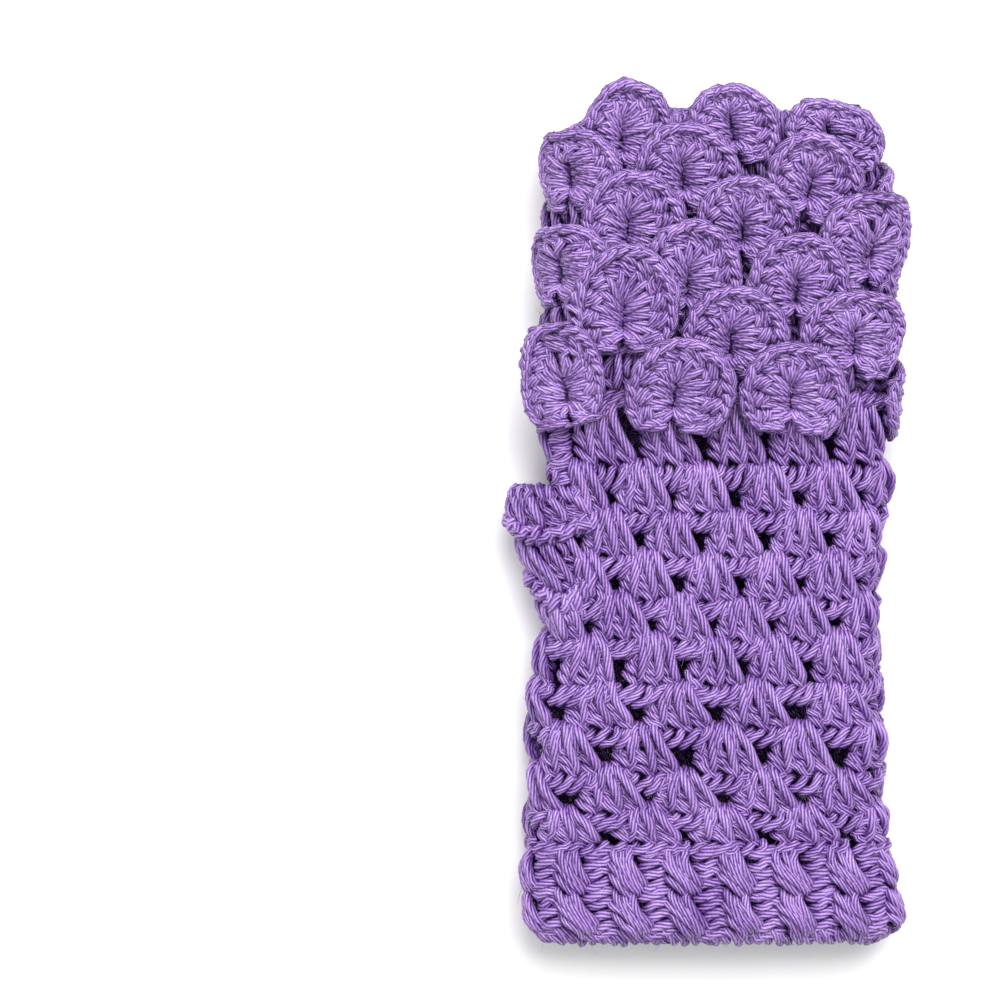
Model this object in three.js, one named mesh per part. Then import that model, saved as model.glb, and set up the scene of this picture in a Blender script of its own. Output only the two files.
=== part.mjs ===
import * as THREE from 'three';

// A crocheted fingerless glove that lies flat. The wrist edge is at low y, the finger edge is at high y,
// the thumb is on the low x side, and the back of the hand faces up. Sizes are in millimetres.

// Lengths of the four stretches, from the wrist edge to the finger edge
const wristCuffLength = 21.2;
const wristMeshLength = 36.6;
const palmMeshLength = 63.1;
const fingerTubeLength = 68.6;

// Widths and thicknesses of the flattened tube
const wristCuffWidth = 85.5;
const handWidth = 79;
const fingerTubeWidth = 72.5;
const handThickness = 14.6;
const fingerTubeThickness = 10.6;
const backCrown = 1.4;

// Walls
const cuffWall = 3.8;
const meshWall = 3.4;
const fingerTubeWall = 2.5;

// Ribs of the wrist cuff, and the dip of its edge below the little finger
const ribCount = 15;
const ribHeight = 1.1;
const cuffRoundCount = 2;
const cuffEdgeDip = 2.2;

// Holes of the open fabric
const wristGroupCount = 10;
const palmGroupCount = 12;
const holeWidth = 3.2;
const holeHeight = 2.6;
const groupRelief = 0.7;
const endTuck = 0.3;

// Thumb cuff and thumb opening
const thumbBulge = 8.6;
const thumbBulgeLift = 1.6;
const thumbBulgeFullAt = 0.85;
const thumbCuffCells = 8;

// Scales
const scalesPerRow = 6;
const scaleLength = 17;
const scaleLobeDrop = 4.6;
const scaleSideGap = 0.9;
const scaleThickness = 2.2;
const scaleCrease = 0.9;
const scaleRimThinning = 0.25;
const scaleBendThinning = 0.3;
const scaleRoundness = 0.5;
const scaleStackGap = 0.5;
const undersideSquash = 0.72;
const flatScaleGrid = { spokeCount: 12, ringCount: 2 };
const bentScaleGrid = { spokeCount: 16, ringCount: 4 };
const scaleOutlineStepCount = 90;

// Gap between neighbouring pieces
const clearance = 0.3;

const yarnColour = 0x8a69ad;
const yarnRoughness = 0.92;

// Where each stretch starts and ends along y
const wristMeshStart = wristCuffLength + clearance;
const wristMeshEnd = wristMeshStart + wristMeshLength;
const palmMeshStart = wristMeshEnd + clearance;
const palmMeshEnd = palmMeshStart + palmMeshLength;
const fingerTubeStart = palmMeshEnd + clearance;
const fingerTubeEnd = fingerTubeStart + fingerTubeLength;

// Rounds of holes: along is the share of the stretch, turn is the share of the way round of one hole
const wristRounds = [
  { along: 0.077, turn: -0.029 },
  { along: 0.310, turn: 0.021 },
  { along: 0.598, turn: -0.029 },
  { along: 0.858, turn: 0.016 },
];
const palmRounds = [
  { along: 0.073, turn: 0.046 },
  { along: 0.216, turn: 0.001 },
  { along: 0.369, turn: 0.035 },
  { along: 0.526, turn: -0.017 },
  { along: 0.686, turn: 0.025 },
  { along: 0.850, turn: -0.016 },
];

// Cells of the palm fabric, counted in half groups from the middle of the back, that the thumb takes:
// the cuff fills them up to cuffTopRound, and above it they are open, apart from the edge strip
const thumb = {
  lastHalfGroup: -4, firstHalfGroup: -7, edgeStripHalfGroup: -6, cuffRound: 1, cuffTopRound: 4,
};

// Rows of scales: along is the share of the finger tube, slant is the share of the scale length that the
// thumb end of a row lies nearer the fingers, turn is the share of the way round of the first scale
const scaleRows = [
  { name: 'a', along: 0.020, slant: 0.12, turn: 0.108 },
  { name: 'b', along: 0.190, slant: 0.15, turn: 0.022 },
  { name: 'c', along: 0.365, slant: 0.15, turn: 0.112 },
  { name: 'd', along: 0.530, slant: 0.15, turn: 0.035 },
  { name: 'e', along: 0.690, slant: 0.10, turn: 0.122 },
  { name: 'f', along: 0.855, slant: 0.05, turn: 0.030 },
];

// Where a row of scales lies along y, before its slant
function rowAlong(row) {
  return fingerTubeStart + row.along * fingerTubeLength;
}

// The least distance between two scales of neighbouring rows, with their slants taken off
function closestScaleRows() {
  let least = Infinity;
  for (let i = 1; i < scaleRows.length; i += 1) {
    const apart = rowAlong(scaleRows[i]) - rowAlong(scaleRows[i - 1]);
    const slantChange = Math.abs(scaleRows[i].slant - scaleRows[i - 1].slant);
    const stepSlant = Math.max(scaleRows[i].slant, scaleRows[i - 1].slant) * 2 / scalesPerRow;
    least = Math.min(least, apart - (slantChange + stepSlant) * scaleLength);
  }
  return least;
}

// Scales lie on each other like roof shingles, so they rise evenly towards their free edge
const scaleSlope = (scaleThickness + scaleStackGap) / closestScaleRows();
const scaleStackHeight = clearance + scaleSlope * (scaleLength + scaleLobeDrop) + scaleThickness;
const scaleRise = undersideSquash * scaleStackHeight;

// Sections of the flattened tube. along is the share of the named stretch, centre the share of the hand
// width that the middle lies towards the little finger, width the share of the named width, rise the
// share of the height of the scales under it, and thickness the share of the named thickness
const stretches = {
  cuff: { start: 0, length: wristCuffLength, width: wristCuffWidth, thickness: handThickness },
  wrist: { start: wristMeshStart, length: wristMeshLength, width: handWidth, thickness: handThickness },
  palm: { start: palmMeshStart, length: palmMeshLength, width: handWidth, thickness: handThickness },
  fingers: {
    start: fingerTubeStart,
    length: fingerTubeLength,
    width: fingerTubeWidth,
    thickness: fingerTubeThickness,
  },
};
const sections = [
  { stretch: 'cuff', along: 0.00, centre: 0.003, width: 0.94, rise: 0.00, thickness: 0.86 },
  { stretch: 'cuff', along: 0.18, centre: 0.016, width: 0.99, rise: 0.00, thickness: 1.02 },
  { stretch: 'cuff', along: 0.55, centre: 0.003, width: 1.00, rise: 0.00, thickness: 1.06 },
  { stretch: 'cuff', along: 0.95, centre: -0.005, width: 0.97, rise: 0.00, thickness: 1.02 },
  { stretch: 'wrist', along: 0.30, centre: -0.007, width: 1.03, rise: 0.00, thickness: 0.98 },
  { stretch: 'wrist', along: 0.90, centre: -0.008, width: 1.02, rise: 0.00, thickness: 1.00 },
  { stretch: 'palm', along: 0.15, centre: 0.000, width: 0.97, rise: 0.00, thickness: 1.00 },
  { stretch: 'palm', along: 0.40, centre: 0.008, width: 0.96, rise: 0.00, thickness: 1.00 },
  { stretch: 'palm', along: 0.66, centre: 0.025, width: 0.98, rise: 0.08, thickness: 0.97 },
  { stretch: 'palm', along: 0.95, centre: 0.012, width: 0.99, rise: 0.80, thickness: 0.84 },
  { stretch: 'fingers', along: 0.12, centre: 0.018, width: 1.03, rise: 1.00, thickness: 1.06 },
  { stretch: 'fingers', along: 0.35, centre: 0.021, width: 1.01, rise: 1.00, thickness: 1.00 },
  { stretch: 'fingers', along: 0.62, centre: 0.026, width: 0.99, rise: 1.00, thickness: 1.00 },
  { stretch: 'fingers', along: 0.84, centre: 0.016, width: 0.95, rise: 1.00, thickness: 1.00 },
  { stretch: 'fingers', along: 1.00, centre: 0.004, width: 0.87, rise: 1.00, thickness: 1.00 },
];
const stations = sections.map((section) => {
  const stretch = stretches[section.stretch];
  return {
    y: stretch.start + section.along * stretch.length,
    centre: section.centre * handWidth,
    halfWidth: section.width * stretch.width / 2,
    floor: section.rise * scaleRise,
    thickness: section.thickness * stretch.thickness,
  };
});

// A value of the tube's section at y, on a smooth curve through the stations
function smoothStation(key, y) {
  const last = stations.length - 1;
  if (y <= stations[0].y) return stations[0][key];
  if (y >= stations[last].y) return stations[last][key];
  let i = 0;
  while (stations[i + 1].y < y) i += 1;
  const from = stations[i];
  const to = stations[i + 1];
  const before = stations[Math.max(i - 1, 0)];
  const after = stations[Math.min(i + 2, last)];
  const step = to.y - from.y;
  const t = (y - from.y) / step;
  const leaving = step * (to[key] - before[key]) / (to.y - before.y);
  const arriving = step * (after[key] - from[key]) / (after.y - from.y);
  const t2 = t * t;
  const t3 = t2 * t;
  return (2 * t3 - 3 * t2 + 1) * from[key] + (t3 - 2 * t2 + t) * leaving
    + (3 * t2 - 2 * t3) * to[key] + (t3 - t2) * arriving;
}

// The tube's outline at y: two straight sides joined by half circles
function outlineAt(y) {
  const radius = smoothStation('thickness', y) / 2;
  const straight = 2 * (smoothStation('halfWidth', y) - radius);
  const perimeter = 2 * straight + 2 * Math.PI * radius;
  return { radius, straight, perimeter, floor: smoothStation('floor', y) };
}

// A point on the tube and the direction out of it. turn is the share of the way round from the middle of
// the back towards the little finger, so 0.5 and -0.5 are the middle of the palm side
function tubePoint(turn, y) {
  const { radius, straight, perimeter, floor } = outlineAt(y);
  const wrapped = turn - Math.round(turn);
  const side = Math.sign(wrapped) || 1;
  const run = Math.abs(wrapped) * perimeter;
  const bendStart = straight / 2;
  const bendLength = Math.PI * radius;
  const bend = Math.min(Math.max(run - bendStart, 0), bendLength) / radius;
  const pastBend = Math.max(run - bendStart - bendLength, 0);
  const across = Math.min(run, bendStart) - pastBend + radius * Math.sin(bend);
  const share = across / (bendStart + radius);
  const crown = backCrown * (1 - share * share) * Math.max(Math.cos(bend), 0);
  return {
    point: new THREE.Vector3(
      smoothStation('centre', y) + side * across, y, floor + radius + radius * Math.cos(bend) + crown,
    ),
    out: new THREE.Vector3(side * Math.sin(bend), 0, Math.cos(bend)),
  };
}

// A point at a height above the tube's outside, or below it where the height is negative
function abovePoint(turn, y, height) {
  const { point, out } = tubePoint(turn, y);
  return point.addScaledVector(out, height);
}

// Smooth step from 0 at low to 1 at high
function ease(value, low, high) {
  return THREE.MathUtils.smoothstep(value, low, high);
}

// A mesh from vertices and triangles that keeps only the vertices in use
function yarnMesh(name, vertices, triangles) {
  const order = new Map();
  const positions = [];
  const indices = triangles.map((vertex) => {
    if (!order.has(vertex)) {
      order.set(vertex, order.size);
      positions.push(...vertices[vertex].toArray());
    }
    return order.get(vertex);
  });
  const geometry = new THREE.BufferGeometry();
  geometry.setAttribute('position', new THREE.Float32BufferAttribute(positions, 3));
  geometry.setIndex(indices);
  geometry.computeVertexNormals();
  const material = new THREE.MeshStandardMaterial({
    color: yarnColour, roughness: yarnRoughness, metalness: 0,
  });
  const mesh = new THREE.Mesh(geometry, material);
  mesh.name = name;
  return mesh;
}

// A closed wall between an outer and an inner grid of points. Cells that isGap names are left open, and
// every open border gets an edge face, so the result is one solid
function wallMesh(name, { columns, rows, wraps, outerPoint, innerPoint, isGap }) {
  const columnPoints = wraps ? columns : columns + 1;
  const layerSize = columnPoints * (rows + 1);
  const vertices = [];
  for (const layerPoint of [outerPoint, innerPoint]) {
    for (let j = 0; j <= rows; j += 1) {
      for (let i = 0; i < columnPoints; i += 1) vertices.push(layerPoint(i, j));
    }
  }
  const wrapColumn = (i) => (wraps ? (i + columns) % columns : i);
  const vertexAt = (i, j) => j * columnPoints + wrapColumn(i);
  const isKept = (i, j) => {
    if (j < 0 || j >= rows) return false;
    if (!wraps && (i < 0 || i >= columns)) return false;
    return !isGap(wrapColumn(i), j);
  };
  const triangles = [];
  for (let j = 0; j < rows; j += 1) {
    for (let i = 0; i < columns; i += 1) {
      if (!isKept(i, j)) continue;
      const corners = [vertexAt(i, j), vertexAt(i + 1, j), vertexAt(i + 1, j + 1), vertexAt(i, j + 1)];
      const neighbours = [[i, j - 1], [i + 1, j], [i, j + 1], [i - 1, j]];
      const [a, b, c, d] = corners;
      triangles.push(a, b, c, a, c, d);
      triangles.push(...[c, b, a, d, c, a].map((corner) => corner + layerSize));
      neighbours.forEach(([column, row], side) => {
        if (isKept(column, row)) return;
        const from = corners[side];
        const to = corners[(side + 1) % 4];
        triangles.push(to, from, from + layerSize, to, from + layerSize, to + layerSize);
      });
    }
  }
  return yarnMesh(name, vertices, triangles);
}

// Rounds of holes in one stretch of open fabric. A column is half a hole or the space beside it, and a
// row is the height of a round's holes or the fabric between two rounds
class OpenFabric {
  constructor(rounds, stretch, groupCount) {
    this.groupCount = groupCount;
    this.halfGroups = 2 * groupCount;
    this.columns = 2 * this.halfGroups;
    this.rows = 2 * rounds.length + 1;
    this.rounds = rounds.map((round, index) => {
      const turned = round.turn - this.stagger(index, rounds.length);
      const wholeGroups = Math.round(turned * groupCount) / groupCount;
      return { y: stretch.start + round.along * stretch.length, drift: turned - wholeGroups };
    });
    this.start = stretch.start;
    this.end = stretch.start + stretch.length;
  }

  // Every second round is half a group round from the last one
  stagger(index, count) {
    return ((count - 1 - index) % 2) / this.halfGroups;
  }

  rowY(j) {
    if (j === 0) return this.start;
    if (j === this.rows) return this.end;
    const round = this.rounds[Math.floor((j - 1) / 2)];
    return round.y + (j % 2 === 1 ? -holeHeight / 2 : holeHeight / 2);
  }

  // How far the rounds' holes are turned at y
  driftAt(y) {
    const last = this.rounds.length - 1;
    if (y <= this.rounds[0].y) return this.rounds[0].drift;
    if (y >= this.rounds[last].y) return this.rounds[last].drift;
    let i = 0;
    while (this.rounds[i + 1].y < y) i += 1;
    const share = (y - this.rounds[i].y) / (this.rounds[i + 1].y - this.rounds[i].y);
    return THREE.MathUtils.lerp(this.rounds[i].drift, this.rounds[i + 1].drift, share);
  }

  // Columns 2k and 2k + 1 are the left edge and the right edge of the hole at half group k
  columnTurn(i, y) {
    const halfGroup = Math.floor(i / 2);
    const halfHole = holeWidth / 2 / outlineAt(y).perimeter;
    return this.driftAt(y) + halfGroup / this.halfGroups + (i % 2 === 0 ? -halfHole : halfHole);
  }

  isHole(i, j) {
    if (i % 2 === 1 || j % 2 === 0) return false;
    const index = (j - 1) / 2;
    const halfGroup = i / 2;
    return (halfGroup + this.rounds.length - 1 - index) % 2 === 0;
  }

  // The end towards the fingers tucks in a little. Groups stand proud of the rounds of holes on the back
  // alone, because the palm side is pressed flat
  outerPoint(i, j) {
    const y = this.rowY(j);
    const turn = this.columnTurn(i, y);
    const { out } = tubePoint(turn, y);
    if (j === this.rows) return abovePoint(turn, y, -endTuck * Math.abs(out.z));
    const sink = j > 0 ? groupRelief * Math.max(out.z, 0) : 0;
    return abovePoint(turn, y, -sink);
  }

  innerPoint(i, j) {
    const y = this.rowY(j);
    return abovePoint(this.columnTurn(i, y), y, -meshWall);
  }

  mesh(name, isCutOut) {
    return wallMesh(name, {
      columns: this.columns,
      rows: this.rows,
      wraps: true,
      outerPoint: (i, j) => this.outerPoint(i, j),
      innerPoint: (i, j) => this.innerPoint(i, j),
      isGap: (i, j) => this.isHole(i, j) || isCutOut(i, j),
    });
  }
}

const wristFabric = new OpenFabric(wristRounds, stretches.wrist, wristGroupCount);
const palmFabric = new OpenFabric(palmRounds, stretches.palm, palmGroupCount);

// The palm fabric's columns and rows that the thumb takes
const thumbFirstColumn = 2 * thumb.firstHalfGroup;
const thumbLastColumn = 2 * thumb.lastHalfGroup + 1;
const thumbStripColumn = 2 * thumb.edgeStripHalfGroup;
const thumbFirstRow = 2 * thumb.cuffRound + 2;
const thumbTopRow = 2 * thumb.cuffTopRound + 2;

function isThumbCutOut(i, j) {
  const column = i >= palmFabric.columns / 2 ? i - palmFabric.columns : i;
  if (j < thumbFirstRow || column < thumbFirstColumn || column >= thumbLastColumn) return false;
  const isEdgeStrip = j >= thumbTopRow && column < thumbStripColumn;
  return !isEdgeStrip;
}

// The thumb cuff carries the palm fabric on round the side, and bulges out as it nears the thumb opening
function thumbCuff() {
  const cuffStart = palmFabric.rowY(thumbFirstRow) + clearance;
  const cuffEnd = palmFabric.rowY(thumbTopRow) - clearance;
  const cells = thumbCuffCells;
  const cuffPoint = (i, j, height) => {
    const y = THREE.MathUtils.lerp(cuffStart, cuffEnd, j / cells);
    const gap = clearance / outlineAt(y).perimeter;
    const low = palmFabric.columnTurn(thumbFirstColumn, y) + gap;
    const high = palmFabric.columnTurn(thumbLastColumn, y) - gap;
    const share = i / cells;
    const roundSide = Math.sin(Math.PI * share);
    const fullBulgeY = THREE.MathUtils.lerp(cuffStart, cuffEnd, thumbBulgeFullAt);
    const bulge = roundSide * ease(y, cuffStart, fullBulgeY);
    const point = abovePoint(THREE.MathUtils.lerp(low, high, share), y, height);
    point.x -= thumbBulge * bulge;
    point.z += thumbBulgeLift * bulge * share;
    return point;
  };
  return wallMesh('thumb_cuff', {
    columns: cells,
    rows: cells,
    wraps: false,
    outerPoint: (i, j) => cuffPoint(i, j, 0),
    innerPoint: (i, j) => cuffPoint(i, j, -meshWall),
    isGap: () => false,
  });
}

// Two rounds of posts, alternately raised and sunk, and pressed flat underneath
function wristCuff() {
  const columnsPerRib = 3;
  const rowsPerRound = 2;
  const columns = ribCount * columnsPerRib;
  const rows = cuffRoundCount * rowsPerRound;
  const cuffPoint = (i, j, height, ribs) => {
    const turn = (i + 0.5) / columns;
    const share = j / rows;
    const y = share * wristCuffLength;
    const { point, out } = tubePoint(turn, y);
    const rib = Math.cos(2 * Math.PI * (i + 0.5) / columnsPerRib);
    const isBetweenRounds = j % rowsPerRound === 0;
    const sink = ribs * ribHeight * ((1 - rib) / 2 + (isBetweenRounds ? 0.5 : 0)) * Math.max(out.z, 0);
    const towardsLittleFinger = ease(point.x, 0, wristCuffWidth / 2);
    point.y -= cuffEdgeDip * (1 - share) * towardsLittleFinger;
    return point.addScaledVector(out, height - sink);
  };
  return wallMesh('wrist_cuff', {
    columns,
    rows,
    wraps: true,
    outerPoint: (i, j) => cuffPoint(i, j, 0, 1),
    innerPoint: (i, j) => cuffPoint(i, j, -cuffWall, 0),
    isGap: () => false,
  });
}

// Plain tube that carries the scales
function fingerTube() {
  const columns = 32;
  const rows = scaleRows.length + 1;
  const tubeWallPoint = (i, j, height) => {
    const y = THREE.MathUtils.lerp(fingerTubeStart, fingerTubeEnd, j / rows);
    return abovePoint(i / columns, y, height);
  };
  return wallMesh('finger_tube', {
    columns,
    rows,
    wraps: true,
    outerPoint: (i, j) => tubeWallPoint(i, j, 0),
    innerPoint: (i, j) => tubeWallPoint(i, j, -fingerTubeWall),
    isGap: () => false,
  });
}

// One scale: a cupped shell round its pinched middle, with a long rounded free edge towards the fingers,
// a lobe on each side of the notch below, and a crease from the middle to the free edge
function scaleMesh(row, index) {
  const turn = row.turn + index / scalesPerRow;
  const centreY = rowAlong(row);
  const { point: seat } = tubePoint(turn, centreY);
  const { perimeter } = outlineAt(centreY);
  const acrossShare = 2 * seat.x / fingerTubeWidth;
  const middleY = centreY - row.slant * scaleLength * acrossShare;
  const halfPitch = perimeter / scalesPerRow / 2;
  const halfWidth = halfPitch - scaleSideGap / 2;
  const notchDrop = scaleLobeDrop / 2;
  const fromBend = Math.abs(Math.abs(turn - Math.round(turn)) - 0.25) * perimeter;
  const isBent = fromBend < halfPitch;
  const { spokeCount, ringCount } = isBent ? bentScaleGrid : flatScaleGrid;

  const reach = (angle) => {
    const towardsFingers = (1 + Math.sin(angle)) / 2;
    return notchDrop + (scaleLength - notchDrop) * towardsFingers ** scaleRoundness;
  };
  const widest = Math.max(...Array.from({ length: scaleOutlineStepCount + 1 }, (_, step) => {
    const angle = THREE.MathUtils.lerp(-Math.PI / 4, Math.PI / 4, step / scaleOutlineStepCount);
    return reach(angle) * Math.cos(angle);
  }));

  const scalePoint = (spoke, ring, isFront) => {
    const angle = -Math.PI / 2 + spoke * 2 * Math.PI / spokeCount;
    const distance = reach(angle) * ring / ringCount;
    const across = distance * Math.cos(angle) * halfWidth / widest;
    const along = Math.max(distance * Math.sin(angle), -scaleLobeDrop);
    const edgeShare = ring / ringCount;
    const pinch = scaleCrease * (1 - edgeShare) ** 2;
    const thin = 1 - scaleRimThinning * edgeShare;
    const y = middleY + along;
    const spotTurn = turn + across / perimeter;
    const { out } = tubePoint(spotTurn, y);
    const bendThin = 1 - scaleBendThinning * Math.abs(out.x);
    const thickness = (scaleThickness - pinch) * thin * bendThin;
    const height = clearance + scaleSlope * (along + scaleLobeDrop) + (isFront ? thickness : 0);
    const squash = 1 - (1 - undersideSquash) * Math.max(-out.z, 0);
    return abovePoint(spotTurn, y, height * squash);
  };

  const vertices = [];
  const ringStart = [];
  for (const isFront of [true, false]) {
    ringStart.push(vertices.length);
    vertices.push(scalePoint(0, 0, isFront));
    for (let ring = 1; ring <= ringCount; ring += 1) {
      for (let spoke = 0; spoke < spokeCount; spoke += 1) vertices.push(scalePoint(spoke, ring, isFront));
    }
  }
  const at = (side, ring, spoke) => {
    if (ring === 0) return ringStart[side];
    return ringStart[side] + 1 + (ring - 1) * spokeCount + (spoke % spokeCount);
  };
  const triangles = [];
  for (let spoke = 0; spoke < spokeCount; spoke += 1) {
    triangles.push(at(0, 0, 0), at(0, 1, spoke), at(0, 1, spoke + 1));
    triangles.push(at(1, 0, 0), at(1, 1, spoke + 1), at(1, 1, spoke));
    for (let ring = 1; ring < ringCount; ring += 1) {
      triangles.push(at(0, ring, spoke), at(0, ring + 1, spoke), at(0, ring + 1, spoke + 1));
      triangles.push(at(0, ring, spoke), at(0, ring + 1, spoke + 1), at(0, ring, spoke + 1));
      triangles.push(at(1, ring, spoke), at(1, ring + 1, spoke + 1), at(1, ring + 1, spoke));
      triangles.push(at(1, ring, spoke), at(1, ring, spoke + 1), at(1, ring + 1, spoke + 1));
    }
    triangles.push(at(0, ringCount, spoke), at(1, ringCount, spoke), at(1, ringCount, spoke + 1));
    triangles.push(at(0, ringCount, spoke), at(1, ringCount, spoke + 1), at(0, ringCount, spoke + 1));
  }
  return yarnMesh(`scale_${row.name}_${index + 1}`, vertices, triangles);
}

const glove = new THREE.Group();
glove.add(wristCuff());
glove.add(wristFabric.mesh('wrist_mesh', () => false));
glove.add(palmFabric.mesh('palm_mesh', isThumbCutOut));
glove.add(thumbCuff());
glove.add(fingerTube());
for (const row of scaleRows) {
  for (let index = 0; index < scalesPerRow; index += 1) glove.add(scaleMesh(row, index));
}

// The origin is the middle of the bottom of the whole glove
const extent = new THREE.Box3().setFromObject(glove);
const middle = extent.getCenter(new THREE.Vector3());
glove.position.set(-middle.x, -middle.y, -extent.min.z);

export default glove;
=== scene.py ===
"""A crocheted fingerless glove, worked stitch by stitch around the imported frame.

Sizes are millimetres until a mesh is written, which is in metres.
"""

import logging
import math
from dataclasses import dataclass, field
from enum import Enum, IntEnum
from typing import Callable

import bpy
import numpy as np
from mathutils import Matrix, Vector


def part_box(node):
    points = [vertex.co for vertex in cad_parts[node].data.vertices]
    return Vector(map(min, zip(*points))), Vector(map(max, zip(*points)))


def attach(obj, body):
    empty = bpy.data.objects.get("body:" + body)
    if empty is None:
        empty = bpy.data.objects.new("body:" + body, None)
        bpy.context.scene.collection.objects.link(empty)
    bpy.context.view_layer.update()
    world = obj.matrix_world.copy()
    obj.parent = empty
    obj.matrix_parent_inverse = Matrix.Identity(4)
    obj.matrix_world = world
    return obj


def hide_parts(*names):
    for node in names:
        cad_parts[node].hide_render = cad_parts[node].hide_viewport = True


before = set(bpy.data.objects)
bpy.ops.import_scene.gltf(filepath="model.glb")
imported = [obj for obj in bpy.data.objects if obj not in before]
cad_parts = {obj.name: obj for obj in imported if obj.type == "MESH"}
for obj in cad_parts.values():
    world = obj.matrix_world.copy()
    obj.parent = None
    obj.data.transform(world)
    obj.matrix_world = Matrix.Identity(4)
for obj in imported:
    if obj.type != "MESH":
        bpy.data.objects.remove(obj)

MM = 0.001
SEED = 20
BODY = "root"
PICTURE_MIDDLE = (-47.1, 100.1)
POST_BASE_WIDTH = 0.7
POST_JITTER = 0.24

log = logging.getLogger("glove")

# Points, and the directions out of the surface there
Placed = tuple[np.ndarray, np.ndarray]

# Puts across or turn, along and height into space
Mapping = Callable[[np.ndarray, np.ndarray, np.ndarray], Placed]


class Stretch(Enum):
    """The four stretches of the glove, from the wrist edge to the finger edge."""

    CUFF = "cuff"
    WRIST = "wrist"
    PALM = "palm"
    FINGERS = "fingers"


class Column(IntEnum):
    """What each column of the tube's stations holds."""

    Y = 0
    CENTRE = 1
    HALF_WIDTH = 2
    RISE = 3
    THICKNESS = 4


@dataclass(frozen=True)
class GloveSizes:
    """Driving sizes of the flattened tube, the same as the frame's solids have."""

    cuff_length: float = 21.2
    wrist_length: float = 36.6
    palm_length: float = 63.1
    finger_length: float = 68.6
    cuff_width: float = 85.5
    hand_width: float = 79.0
    finger_width: float = 72.5
    hand_thickness: float = 14.6
    finger_thickness: float = 10.6
    back_crown: float = 1.4
    clearance: float = 0.3
    scale_length: float = 17.0
    scale_lobe_drop: float = 4.6
    scale_thickness: float = 2.2
    scale_stack_gap: float = 0.5
    scales_per_row: int = 6
    underside_squash: float = 0.72
    finger_columns: int = 32


@dataclass(frozen=True)
class ScaleRow:
    """One row of scales: its place along the finger tube, its slant, and the turn of its first scale."""

    name: str
    along: float
    slant: float
    turn: float


SCALE_ROWS = (
    ScaleRow("a", 0.020, 0.12, 0.108),
    ScaleRow("b", 0.190, 0.15, 0.022),
    ScaleRow("c", 0.365, 0.15, 0.112),
    ScaleRow("d", 0.530, 0.15, 0.035),
    ScaleRow("e", 0.690, 0.10, 0.122),
    ScaleRow("f", 0.855, 0.05, 0.030),
)

# Sections: stretch, share along it, then centre, width, rise and thickness as shares of the named sizes
SECTIONS = (
    (Stretch.CUFF, 0.00, 0.003, 0.94, 0.00, 0.86),
    (Stretch.CUFF, 0.18, 0.016, 0.99, 0.00, 1.02),
    (Stretch.CUFF, 0.55, 0.003, 1.00, 0.00, 1.06),
    (Stretch.CUFF, 0.95, -0.005, 0.97, 0.00, 1.02),
    (Stretch.WRIST, 0.30, -0.007, 1.03, 0.00, 0.98),
    (Stretch.WRIST, 0.90, -0.008, 1.02, 0.00, 1.00),
    (Stretch.PALM, 0.15, 0.000, 0.97, 0.00, 1.00),
    (Stretch.PALM, 0.40, 0.008, 0.96, 0.00, 1.00),
    (Stretch.PALM, 0.66, 0.025, 0.98, 0.08, 0.97),
    (Stretch.PALM, 0.95, 0.012, 0.99, 0.80, 0.84),
    (Stretch.FINGERS, 0.12, 0.018, 1.03, 1.00, 1.06),
    (Stretch.FINGERS, 0.35, 0.021, 1.01, 1.00, 1.00),
    (Stretch.FINGERS, 0.62, 0.026, 0.99, 1.00, 1.00),
    (Stretch.FINGERS, 0.84, 0.016, 0.95, 1.00, 1.00),
    (Stretch.FINGERS, 1.00, 0.004, 0.87, 1.00, 1.00),
)

# Rounds of holes: share along the stretch, and turn of one hole
WRIST_ROUNDS = ((0.077, -0.029), (0.310, 0.021), (0.598, -0.029), (0.858, 0.016))
PALM_ROUNDS = (
    (0.073, 0.046), (0.216, 0.001), (0.369, 0.035), (0.526, -0.017), (0.686, 0.025), (0.850, -0.016),
)
WRIST_GROUPS = 10
PALM_GROUPS = 12


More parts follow.
